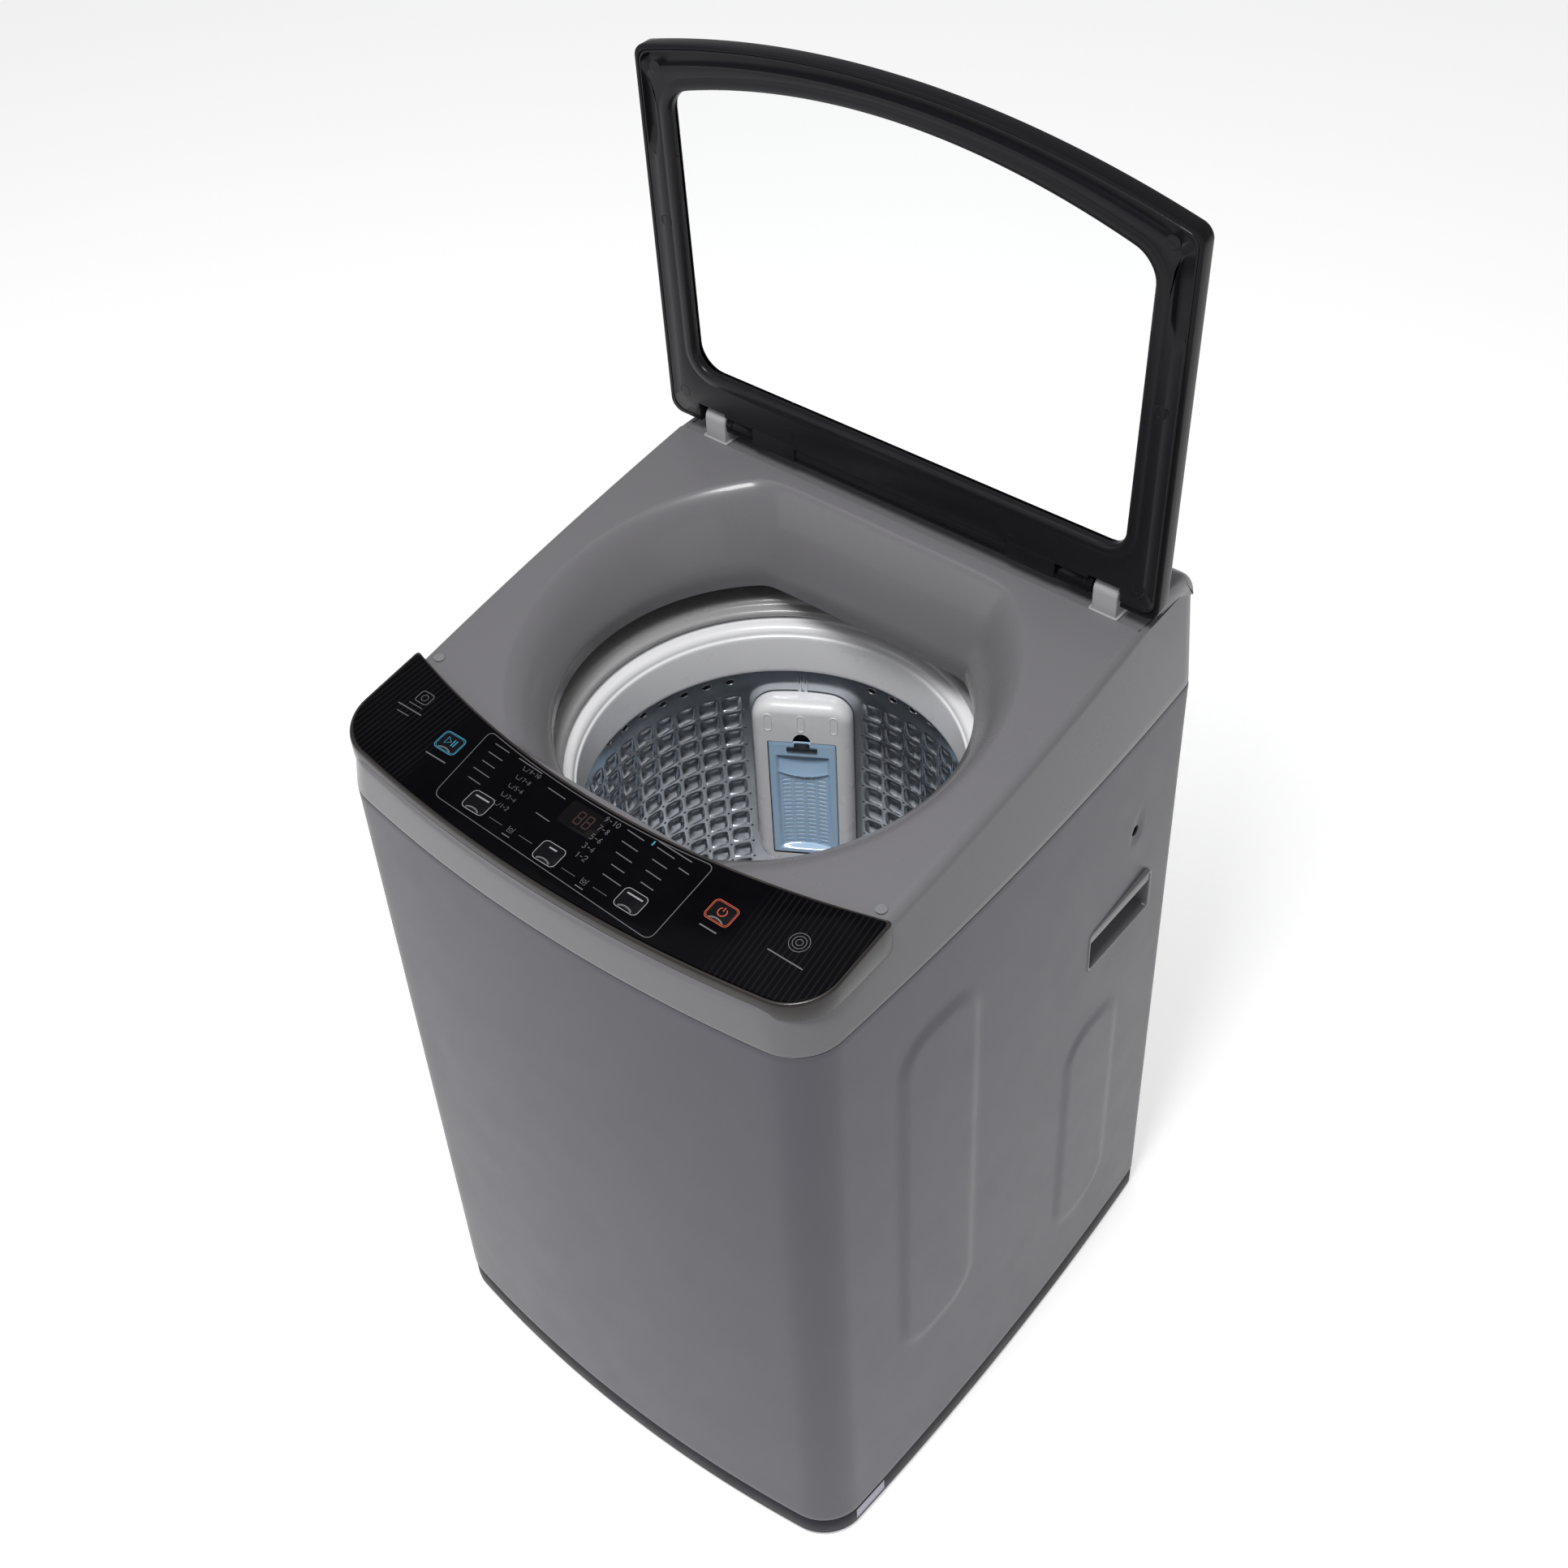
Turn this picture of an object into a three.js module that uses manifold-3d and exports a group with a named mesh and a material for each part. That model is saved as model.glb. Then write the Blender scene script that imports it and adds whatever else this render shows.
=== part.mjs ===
// A top load washing machine with its lid open, as an assembly of separate pieces.
// Millimetres, +Z up, the front faces -Y, and the origin is on the floor under the middle of the machine.
import * as THREE from 'three';
import { mergeVertices } from 'three/addons/utils/BufferGeometryUtils.js';
import Module from 'manifold-3d';

const wasm = await Module();
wasm.setup();

// Overall sizes
const halfWidth = 280; // cabinet, at its corners
const sideBulge = 8; // how far each side wall bows out at its middle
const frontY = -279; // where the front bow starts, at the corners
const frontBow = 27;
const rearY = 303.2;
const frontCorner = 42;
const rearCorner = 14;
const gap = 0.3; // between pieces that touch
const sheet = 2; // painted steel wall

// Levels
const baseBottom = 10;
const cabinetBottom = 28;
const seam = 815.5; // cabinet to top cover
const coverSlope = 0.14; // rise of the cover's top towards the rear
const coverRearY = 202;
const coverRearZ = 937;
const coverTaper = 0.965; // width of the cover's top over its bottom
const coverSkin = 3;
const consoleFront = 236;
const consoleTop = 959;
const wellFront = 205;
const wellFloor = 932;
const panelTray = 857; // floor of the tray that the control panel sits in
const panelProud = 7.5; // panel top above the slope of the cover

// Opening and drum
const drumY = 8;
const openingRadius = 195;
const openingRearY = 155;
const openingZ = 846;
const skirtZ = 834;
const funnelRadius = 238;
const drumRadius = 205;
const drumFloor = 288;
const drumTop = 711;
const ringRadius = 186;
const ringTop = 772;
const tubRadius = 246;
const tubFloor = 272;
const tubTop = 785;

// Lid, whose hinge axis lies along X
const hingeY = 222;
const hingeZ = 955;
const lidInner = -13.8; // the face that lies on the cover, from the hinge axis
const lidOuter = 4.2;
const lidCornerLength = 385.5; // hinge axis to the front corners
const lidBow = 44.5; // how much further the middle of the front edge reaches
const hingePostX = 229;
const postWidth = 26;

// Drive, under the tub
const motorX = -128;
const motorY = -112;
const pulleyBottom = 112;
const pulleyTop = 130;
const drivePulleyRadius = 70;
const motorPulleyRadius = 23;

const planSegments = 5; // straight steps in each curve of a plan outline
const machine = new THREE.Group();

// Finishes
const silverPaint = { color: 0x8b8a90, roughness: 0.38, metalness: 0.25 };
const greyPlastic = { color: 0x8f8e92, roughness: 0.28, metalness: 0 };
const paleGrey = { color: 0xb4b4b6, roughness: 0.3, metalness: 0 };
const charcoal = { color: 0x2c2b31, roughness: 0.55, metalness: 0 };
const blackGloss = { color: 0x0b0b0e, roughness: 0.12, metalness: 0 };
const bronzeBlack = { color: 0x2b2724, roughness: 0.3, metalness: 0.3 };
const stainless = { color: 0xc9cbd0, roughness: 0.18, metalness: 1 };
const blueClear = { color: 0x9dc4e6, roughness: 0.15, metalness: 0 };
const clearGlass = { color: 0xe8f0f2, roughness: 0.03, metalness: 0 };
const rubberBlack = { color: 0x17171a, roughness: 0.8, metalness: 0 };
const zincSteel = { color: 0x9ea1a6, roughness: 0.35, metalness: 0.9 };
const whitePlastic = { color: 0xd8d8d6, roughness: 0.45, metalness: 0 };
const boardGreen = { color: 0x1f5a3a, roughness: 0.6, metalness: 0 };

// ---- solids: every shape becomes a manifold solid, so that it can be cut, joined and checked ----

function toSolid(geometry) {
  const bare = new THREE.BufferGeometry();
  bare.setAttribute('position', geometry.getAttribute('position').clone());
  if (geometry.index) bare.setIndex(geometry.index.clone());
  const merged = mergeVertices(bare, 1e-4);
  const index = merged.index.array;
  const position = merged.attributes.position;
  const kept = [];
  let volume = 0;
  const a = new THREE.Vector3();
  const b = new THREE.Vector3();
  const c = new THREE.Vector3();
  for (let i = 0; i < index.length; i += 3) {
    const [p, q, r] = [index[i], index[i + 1], index[i + 2]];
    if (p === q || q === r || r === p) continue;
    kept.push(p, q, r);
    a.fromBufferAttribute(position, p);
    b.fromBufferAttribute(position, q);
    c.fromBufferAttribute(position, r);
    volume += a.dot(b.cross(c));
  }
  if (volume < 0) kept.reverse();
  return new wasm.Manifold(
    new wasm.Mesh({
      numProp: 3,
      vertProperties: Float32Array.from(position.array),
      triVerts: Uint32Array.from(kept),
    }),
  );
}

const finest = 0.03; // detail smaller than this is merged away after the cuts

function toGeometry(solid) {
  const mesh = solid.simplify(finest).getMesh();
  const geometry = new THREE.BufferGeometry();
  geometry.setAttribute('position', new THREE.BufferAttribute(mesh.vertProperties, 3));
  geometry.setIndex(new THREE.BufferAttribute(mesh.triVerts, 1));
  geometry.computeVertexNormals();
  return geometry;
}

function addPart(name, solid, finish) {
  const mesh = new THREE.Mesh(toGeometry(solid), new THREE.MeshStandardMaterial(finish));
  mesh.name = name;
  machine.add(mesh);
}

function block(x0, x1, y0, y1, z0, z1) {
  const box = new THREE.BoxGeometry(x1 - x0, y1 - y0, z1 - z0);
  return toSolid(box.translate((x0 + x1) / 2, (y0 + y1) / 2, (z0 + z1) / 2));
}

function disc(radius, z0, z1, x = 0, y = drumY, sides = 32) {
  const cylinder = new THREE.CylinderGeometry(radius, radius, z1 - z0, sides);
  return toSolid(cylinder.rotateX(Math.PI / 2).translate(x, y, (z0 + z1) / 2));
}

function rod(radius, from, to, sides = 12) {
  const start = new THREE.Vector3(...from);
  const along = new THREE.Vector3(...to).sub(start);
  const cylinder = new THREE.CylinderGeometry(radius, radius, along.length(), sides);
  const turn = new THREE.Quaternion().setFromUnitVectors(
    new THREE.Vector3(0, 1, 0),
    along.clone().normalize(),
  );
  cylinder.applyQuaternion(turn);
  const middle = start.addScaledVector(along, 0.5);
  return toSolid(cylinder.translate(middle.x, middle.y, middle.z));
}

// Turns a closed profile of [radius, height] pairs about the vertical drum axis.
function turned(profile, sides = 36, x = 0, y = drumY) {
  const points = [...profile, profile[0]].map(([radius, height]) => new THREE.Vector2(radius, height));
  const lathe = new THREE.LatheGeometry(points, sides);
  return toSolid(lathe.rotateX(Math.PI / 2).translate(x, y, 0));
}

function prism(shape, z0, z1, curveSegments = planSegments) {
  const extrusion = new THREE.ExtrudeGeometry(shape, { depth: z1 - z0, bevelEnabled: false, curveSegments });
  return toSolid(extrusion.translate(0, 0, z0));
}

// A side profile, drawn as [y, z] points, extruded across the machine from x0 to x1.
function sidePlate(profile, x0, x1) {
  const shape = new THREE.Shape(profile.map(([y, z]) => new THREE.Vector2(y, z)));
  const extrusion = new THREE.ExtrudeGeometry(shape, { depth: x1 - x0, bevelEnabled: false });
  extrusion.applyMatrix4(new THREE.Matrix4().makeBasis(
    new THREE.Vector3(0, 1, 0),
    new THREE.Vector3(0, 0, 1),
    new THREE.Vector3(1, 0, 0),
  ));
  return toSolid(extrusion.translate(x0, 0, 0));
}

// Joins rings of points, each with the same count, into one closed skin with flat-fan ends.
function loft(rings) {
  const count = rings[0].length;
  const points = rings.flat();
  const first = points.length;
  for (const ring of [rings[0], rings[rings.length - 1]]) {
    const centre = new THREE.Vector3();
    ring.forEach((point) => centre.addScaledVector(point, 1 / count));
    points.push(centre);
  }
  const faces = [];
  const lastRow = (rings.length - 1) * count;
  for (let i = 0; i < count; i++) {
    const next = (i + 1) % count;
    for (let row = 0; row < rings.length - 1; row++) {
      const low = row * count;
      const high = low + count;
      faces.push(low + i, low + next, high + next, low + i, high + next, high + i);
    }
    faces.push(first, next, i, first + 1, lastRow + i, lastRow + next);
  }
  const geometry = new THREE.BufferGeometry().setFromPoints(points);
  geometry.setIndex(faces);
  return toSolid(geometry);
}

function roundedCorner(shape, from, corner, to) {
  const pull = 0.5523;
  shape.bezierCurveTo(
    from[0] + pull * (corner[0] - from[0]),
    from[1] + pull * (corner[1] - from[1]),
    to[0] + pull * (corner[0] - to[0]),
    to[1] + pull * (corner[1] - to[1]),
    to[0],
    to[1],
  );
}

function roundedRectangle(x0, x1, y0, y1, radius) {
  const shape = new THREE.Shape();
  shape.moveTo(x0 + radius, y0);
  shape.lineTo(x1 - radius, y0);
  shape.absarc(x1 - radius, y0 + radius, radius, -Math.PI / 2, 0);
  shape.lineTo(x1, y1 - radius);
  shape.absarc(x1 - radius, y1 - radius, radius, 0, Math.PI / 2);
  shape.lineTo(x0 + radius, y1);
  shape.absarc(x0 + radius, y1 - radius, radius, Math.PI / 2, Math.PI);
  shape.lineTo(x0, y0 + radius);
  shape.absarc(x0 + radius, y0 + radius, radius, Math.PI, 1.5 * Math.PI);
  return shape;
}

// ---- plan outlines ----

// The cabinet's plan: bowed front, round front corners, slightly bowed sides. inset moves it inwards.
function cabinetPlan(inset = 0) {
  const w = halfWidth - inset;
  const tip = frontY + inset;
  const rear = rearY - inset;
  const r = frontCorner - inset * 0.6;
  const q = Math.max(2, rearCorner - inset);
  const bowAt = (x) => tip - frontBow * (1 - (x / w) ** 2);
  const start = w - r;
  const slope = (2 * frontBow * start) / w ** 2;
  const cornerY = bowAt(start) + slope * r;
  const sideStart = cornerY + r;
  const middle = (sideStart + rear - q) / 2;
  const shape = new THREE.Shape();
  shape.moveTo(-start, bowAt(start));
  shape.quadraticCurveTo(0, bowAt(start) - slope * start, start, bowAt(start));
  roundedCorner(shape, [start, bowAt(start)], [w, cornerY], [w, sideStart]);
  shape.quadraticCurveTo(w + 2 * sideBulge, middle, w, rear - q);
  roundedCorner(shape, [w, rear - q], [w, rear], [w - q, rear]);
  shape.lineTo(-w + q, rear);
  roundedCorner(shape, [-w + q, rear], [-w, rear], [-w, rear - q]);
  shape.quadraticCurveTo(-w - 2 * sideBulge, middle, -w, sideStart);
  roundedCorner(shape, [-w, sideStart], [-w, cornerY], [-start, bowAt(start)]);
  return shape;
}

// The control panel's plan: the cabinet's front, closed by a rear edge that bows forwards.
function panelPlan(inset = 0) {
  const w = 277 - inset;
  const tip = frontY + 3 + inset;
  const r = 40 - inset * 0.6;
  const rear = -166 - inset;
  const rearBow = 40;
  const bowAt = (x) => tip - frontBow * (1 - (x / w) ** 2);
  const start = w - r;
  const slope = (2 * frontBow * start) / w ** 2;
  const cornerY = bowAt(start) + slope * r;
  const shape = new THREE.Shape();
  shape.moveTo(-start, bowAt(start));
  shape.quadraticCurveTo(0, bowAt(start) - slope * start, start, bowAt(start));
  roundedCorner(shape, [start, bowAt(start)], [w, cornerY], [w, cornerY + r]);
  shape.lineTo(w, rear);
  shape.quadraticCurveTo(0, rear - 2 * rearBow, -w, rear);
  shape.lineTo(-w, cornerY + r);
  roundedCorner(shape, [-w, cornerY + r], [-w, cornerY], [-start, bowAt(start)]);
  return shape;
}

const coverTopAt = (y) => coverRearZ + coverSlope * (y - coverRearY);
const slopeAngle = Math.atan(coverSlope);

// Turns a solid made flat about z = 0 so that it lies on the panel's sloping top.
function ontoPanel(solid) {
  const origin = -235;
  const matrix = new THREE.Matrix4()
    .makeTranslation(0, origin, coverTopAt(origin) + panelProud)
    .multiply(new THREE.Matrix4().makeRotationX(slopeAngle))
    .multiply(new THREE.Matrix4().makeTranslation(0, -origin, 0));
  return solid.transform(matrix.toArray());
}

// ---- cabinet, base and feet ----

const handleY = 190;
const handleZ = 577;
const handleLength = 114;
const handleHeight = 56;
const backHoleHalf = 190;
const backHoleBottom = 110;
const backHoleTop = 650;
const rodX = 212;
const rodOffsetY = 212;
const footX = 236;
const footY = 238;
const studRadius = 6;

const glandX = 120;
const glandZ = 700;

const corners = [
  ['front_left', -1, -1],
  ['front_right', 1, -1],
  ['rear_left', -1, 1],
  ['rear_right', 1, 1],
];

function makeCabinet() {
  const flange = 12;
  let shell = prism(cabinetPlan(), cabinetBottom, seam);
  const bracketZ = seam - 22;
  let inside = prism(cabinetPlan(sheet), cabinetBottom - 1, seam + 1);
  const brackets = corners.map(([, sx, sy]) => {
    const x = sx * (rodX + 22);
    const y = sy * (rodOffsetY + 26) + drumY;
    return block(x - 48, x + 48, y - 48, y + 48, bracketZ, bracketZ + 3);
  });
  const lip = prism(cabinetPlan(sheet), seam - 3, seam).subtract(prism(cabinetPlan(flange), seam - 4, seam + 1));
  shell = shell.subtract(inside);
  const core = prism(cabinetPlan(sheet / 2), bracketZ - 1, seam);
  for (const bracket of brackets) shell = shell.add(bracket.intersect(core));
  shell = shell.add(lip);
  for (const [, sx, sy] of corners) {
    shell = shell.subtract(disc(5.5, bracketZ - 5, bracketZ + 8, sx * rodX, sy * rodOffsetY + drumY, 12));
    const y0 = handleY - handleLength / 2;
    const z0 = handleZ - handleHeight / 2;
    shell = shell.subtract(
      block(sx * 285 - 20, sx * 285 + 20, y0, y0 + handleLength, z0, z0 + handleHeight),
    );
  }
  shell = shell.subtract(rod(6, [250, 212, 684], [310, 212, 684], 16));
  shell = shell.subtract(rod(9.4, [glandX, 290, glandZ], [glandX, 310, glandZ], 16));
  shell = shell.subtract(block(-backHoleHalf, backHoleHalf, 280, 320, backHoleBottom, backHoleTop));
  addPart('cabinet_shell', shell, silverPaint);

  const cover = prism(roundedRectangle(-backHoleHalf - 14, backHoleHalf + 14, 0, 568, 16), 0, 1.7, 1);
  const upright = new THREE.Matrix4()
    .makeTranslation(0, rearY + gap + 1.7, backHoleBottom - 14)
    .multiply(new THREE.Matrix4().makeRotationX(Math.PI / 2));
  addPart('back_cover', cover.transform(upright.toArray()), silverPaint);
}

function makeHandle(name, side) {
  const y0 = handleY - handleLength / 2;
  const z0 = handleZ - handleHeight / 2;
  const wall = 3;
  const outer = side * 287;
  const inner = side * 257;
  const spread = (a, b) => [Math.min(a, b), Math.max(a, b)];
  const body = block(
    ...spread(inner, outer),
    y0 + gap,
    y0 + handleLength - gap,
    z0 + gap,
    z0 + handleHeight - gap,
  );
  const pocket = block(
    ...spread(inner + side * wall, outer + side),
    y0 + wall,
    y0 + handleLength - wall,
    z0 + wall,
    z0 + handleHeight - wall,
  );
  const grip = block(
    ...spread(outer - side * 13, outer),
    y0 + gap,
    y0 + handleLength - gap,
    z0 + handleHeight - 20,
    z0 + handleHeight - gap,
  );
  addPart(name, body.subtract(pocket).add(grip), greyPlastic);
}

function makeBase() {
  const rim = cabinetPlan(0.6);
  const inner = cabinetPlan(sheet + gap + 0.3);
  let base = prism(rim, baseBottom, cabinetBottom - gap).add(prism(inner, baseBottom, 58));
  const opening = prism(cabinetPlan(34), baseBottom - 10, 70);
  base = base.subtract(opening);
  const hollow = prism(cabinetPlan(7), baseBottom + 4, 70);
  const plug = corners.map(([, sx, sy]) => disc(34, baseBottom - 4, 58, sx * footX, sy * footY, 16));
  base = base.subtract(hollow);
  const bounds = prism(inner, baseBottom - 4, 58);
  for (const cup of plug) base = base.add(cup.intersect(bounds));
  for (const [, sx, sy] of corners) {
    base = base.subtract(disc(studRadius + 1, 0, 70, sx * footX, sy * footY, 8));
  }
  addPart('base_frame', base, charcoal);
  for (const [name, sx, sy] of corners) {
    const [x, y] = [sx * footX, sy * footY];
    const pad = disc(20, 0, 5.5, x, y, 16);
    const stud = disc(studRadius, 5, 62, x, y, 8);
    addPart(`foot_${name}`, pad.add(stud), rubberBlack);
  }
}

// ---- top cover ----

const aroundOpening = 40;

// One ring of the funnel: spread 0 is the opening's edge and spread 1 the crease in the cover's top.
function funnelRing(spread, zAt, grow = 0) {
  const ring = [];
  for (let i = 0; i < aroundOpening; i++) {
    const angle = (2 * Math.PI * i) / aroundOpening;
    const radius = THREE.MathUtils.lerp(openingRadius, funnelRadius, spread) + grow;
    const rearLimit = THREE.MathUtils.lerp(openingRearY, 192, spread) + grow;
    const frontLimit = -THREE.MathUtils.lerp(openingRadius, 198, spread) - grow;
    const x = radius * Math.cos(angle);
    const y = THREE.MathUtils.clamp(radius * Math.sin(angle), frontLimit, rearLimit);
    ring.push(new THREE.Vector3(x, y, zAt(y)));
  }
  return ring;
}

// The funnel's solid, grown outwards by grow and lowered by drop; its last ring ends lip above the cover's top.
function funnelSolid(grow, drop, lip, top) {
  const level = (share) => (y) => THREE.MathUtils.lerp(openingZ, coverTopAt(y), share) - drop;
  const rings = [
    funnelRing(0, () => skirtZ - (grow ? 0 : 20), grow),
    funnelRing(0, level(0), grow),
    funnelRing(0.08, level(0.2), grow),
    funnelRing(0.4, level(0.5), grow),
    funnelRing(0.86, level(0.78), grow),
    funnelRing(1, (y) => coverTopAt(y) + lip, grow),
  ];
  if (top) rings.push(funnelRing(1, () => top, grow));
  return loft(rings);
}

// The cabinet's plan between the seam and the sloping top, drawn in at the top.
function coverBody(inset, bottom, drop) {
  const extrusion = new THREE.ExtrudeGeometry(cabinetPlan(inset), {
    depth: 1,
    bevelEnabled: false,
    curveSegments: planSegments,
  });
  const position = extrusion.getAttribute('position');
  for (let i = 0; i < position.count; i++) {
    const isTop = position.getZ(i) > 0.5;
    const y = position.getY(i);
    if (isTop) position.setX(i, position.getX(i) * coverTaper);
    position.setZ(i, isTop ? coverTopAt(y) - drop : bottom);
  }
  return toSolid(extrusion);
}

// The raised part behind the lid, whose rear top edge is well rounded.
function consoleBody(inset) {
  const top = consoleTop - inset;
  const rear = rearY - inset;
  const front = consoleFront + inset;
  const round = 46;
  const profile = [
    [front, seam],
    [rear, seam],
    [rear, top - round],
  ];
  for (let i = 1; i <= 6; i++) {
    const angle = (Math.PI / 2) * (i / 6);
    profile.push([rear - round + round * Math.cos(angle), top - round + round * Math.sin(angle)]);
  }
  profile.push([front, top]);
  const halfConsole = (halfWidth + 1) * 0.985 - inset;
  return sidePlate(profile, -halfConsole, halfConsole).intersect(prism(cabinetPlan(inset), seam, consoleTop + 5));
}

function makeTopCover() {
  const bottom = seam + gap;
  const tray = prism(panelPlan(-coverSkin - 0.4), panelTray - coverSkin, 920);
  const well = block(-300, 300, wellFront, consoleFront, wellFloor, 990);
  const wellSkin = block(-300, 300, wellFront - coverSkin, consoleFront + coverSkin, wellFloor - coverSkin, 990);
  const outer = coverBody(0, bottom, 0).add(consoleBody(0).intersect(block(-300, 300, 0, 400, bottom, 1000)));
  const inner = coverBody(coverSkin, bottom - 2, coverSkin)
    .add(consoleBody(coverSkin).subtract(block(-300, 300, 0, 400, 800, bottom + 30)))
    .subtract(tray)
    .subtract(wellSkin);
  let cover = outer.subtract(inner);
  cover = cover.add(funnelSolid(coverSkin, coverSkin, -1.2, 0).intersect(outer));
  cover = cover.subtract(funnelSolid(0, 0, 0.8, 1000));
  cover = cover.subtract(prism(panelPlan(-0.4), panelTray, 930));
  cover = cover.subtract(well);
  cover = cover.subtract(rod(15, [-190, 290, 868], [-190, 320, 868], 20));
  addPart('top_cover', cover, greyPlastic);
}

// ---- control panel ----

const fasciaThickness = 2.2;
const keySize = { x: 27, y: 22 };
const keys = [
  ['start_pause_key', -169, -231],
  ['process_key', -99, -266],
  ['custom_key', -8, -272],
  ['program_key', 84, -270],
  ['power_key', 155, -237],
];
const display = { x: -8, y: -229, w: 42, h: 26 };

function plate(cx, cy, w, h, z0, z1, radius) {
  return prism(roundedRectangle(cx - w / 2, cx + w / 2, cy - h / 2, cy + h / 2, radius), z0, z1, 1);
}

function makePanel() {
  const underTop = ontoPanel(block(-400, 400, -420, 0, -120, 0));
  let housing = prism(panelPlan(), panelTray + gap, 930).intersect(underTop);
  const cavity = prism(panelPlan(9), panelTray - 5, 930).intersect(
    ontoPanel(block(-400, 400, -420, 0, -120, -7.5)),
  );
  const recess = ontoPanel(prism(panelPlan(3), -fasciaThickness - gap, 20));
  housing = housing.subtract(cavity).subtract(recess);
  let fascia = prism(panelPlan(3 + gap), -fasciaThickness, 0);
  for (const [, x, y] of keys) {
    const well = plate(x, y, keySize.x + 1.4, keySize.y + 1.4, -12, 5, 5.5);
    housing = housing.subtract(ontoPanel(well));
    fascia = fascia.subtract(plate(x, y, keySize.x + 0.8, keySize.y + 0.8, -12, 5, 5.4));
  }
  const window = plate(display.x, display.y, display.w, display.h, -1.6, 0, 3);
  fascia = fascia.subtract(plate(display.x, display.y, display.w + 0.6, display.h + 0.6, -1.9, 5, 3.3));
  addPart('panel_housing', housing, bronzeBlack);
  addPart('panel_fascia', ontoPanel(fascia), blackGloss);
  addPart('display_window', ontoPanel(window), blackGloss);
  for (const [name, x, y] of keys) {
    addPart(name, ontoPanel(plate(x, y, keySize.x, keySize.y, -4.6, 0.3, 5)), blackGloss);
  }
  const board = block(-190, 190, -268, -222, panelTray + 2, panelTray + 3.6);
  addPart('control_board', board, boardGreen);
}

// ---- lid: drawn in its own plane, x across and s from the hinge axis to the front edge ----

// Stands a plate made from a shape in (x, s) between two depths behind the hinge axis.
function lidPlate(shape, near, far) {
  const extrusion = new THREE.ExtrudeGeometry(shape, { depth: far - near, bevelEnabled: false, curveSegments: 5 });
  return toSolid(extrusion.rotateX(Math.PI / 2).translate(0, hingeY + far, hingeZ));
}

function lidPlan(inset = 0) {
  const low = -5 + inset;
  const bottomHalf = 285 - inset;
  const topHalf = 292 - inset;
  const corner = lidCornerLength - inset;
  const crown = corner + 2 * lidBow;
  const shape = new THREE.Shape();
  shape.moveTo(-bottomHalf + 14, low);
  shape.lineTo(bottomHalf - 14, low);
  roundedCorner(shape, [bottomHalf - 14, low], [bottomHalf, low], [bottomHalf, low + 14]);
  shape.lineTo(topHalf, corner - 10);
  roundedCorner(shape, [topHalf, corner - 10], [topHalf, corner], [topHalf - 10, corner + 2.8]);
  shape.quadraticCurveTo(0, crown - 2.8, -topHalf + 10, corner + 2.8);
  roundedCorner(shape, [-topHalf + 10, corner + 2.8], [-topHalf, corner], [-topHalf, corner - 10]);
  shape.lineTo(-bottomHalf, low + 14);
  roundedCorner(shape, [-bottomHalf, low + 14], [-bottomHalf, low], [-bottomHalf + 14, low]);
  return shape;
}

function windowPlan(grow = 0) {
  const low = 58 - grow;
  const bottomHalf = 246 + grow;
  const topHalf = 253 + grow;
  const corner = 351 + grow;
  const crown = corner + 2 * lidBow;
  const r = 22 + grow;
  const rise = 6;
  const shape = new THREE.Shape();
  shape.moveTo(-bottomHalf + r, low);
  shape.lineTo(bottomHalf - r, low);
  roundedCorner(shape, [bottomHalf - r, low], [bottomHalf, low], [bottomHalf, low + r]);
  shape.lineTo(topHalf, corner - r);
  roundedCorner(shape, [topHalf, corner - r], [topHalf, corner], [topHalf - r, corner + rise]);
  shape.quadraticCurveTo(0, crown - rise, -topHalf + r, corner + rise);
  roundedCorner(shape, [-topHalf + r, corner + rise], [-topHalf, corner], [-topHalf, corner - r]);
  shape.lineTo(-bottomHalf, low + r);
  roundedCorner(shape, [-bottomHalf, low + r], [-bottomHalf, low], [-bottomHalf + r, low]);
  return shape;
}

const pinRadius = 4;
const hingePlateWidth = 80;
const hingePlates = [-(hingePostX - 32), hingePostX - 112]; // lower X edge of each

// A hinge cover plate, let into the lid's inner face, or the room for it when grown.
function hingePlate(x0, grow) {
  const face = hingeY + lidInner;
  const proud = grow ? 10 : 0.5;
  return block(
    x0 - grow,
    x0 + hingePlateWidth + grow,
    face - proud,
    face + 1.7 + grow,
    hingeZ + 1 - grow,
    hingeZ + 46 + grow,
  );
}

function notches(extra) {
  return [-1, 1].map((side) => {
    const x = side * hingePostX;
    const half = postWidth / 2 + 4 + extra;
    return block(x - half, x + half, hingeY - 30, hingeY + 30, hingeZ - 30, hingeZ + 17 + extra);
  });
}

function pinHoles() {
  return [-1, 1].map((side) => rod(
    pinRadius + gap,
    [side * hingePostX - 27, hingeY, hingeZ],
    [side * hingePostX + 27, hingeY, hingeZ],
    16,
  ));
}

function cutAll(solid, cutters) {
  return cutters.reduce((left, cutter) => left.subtract(cutter), solid);
}

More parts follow.
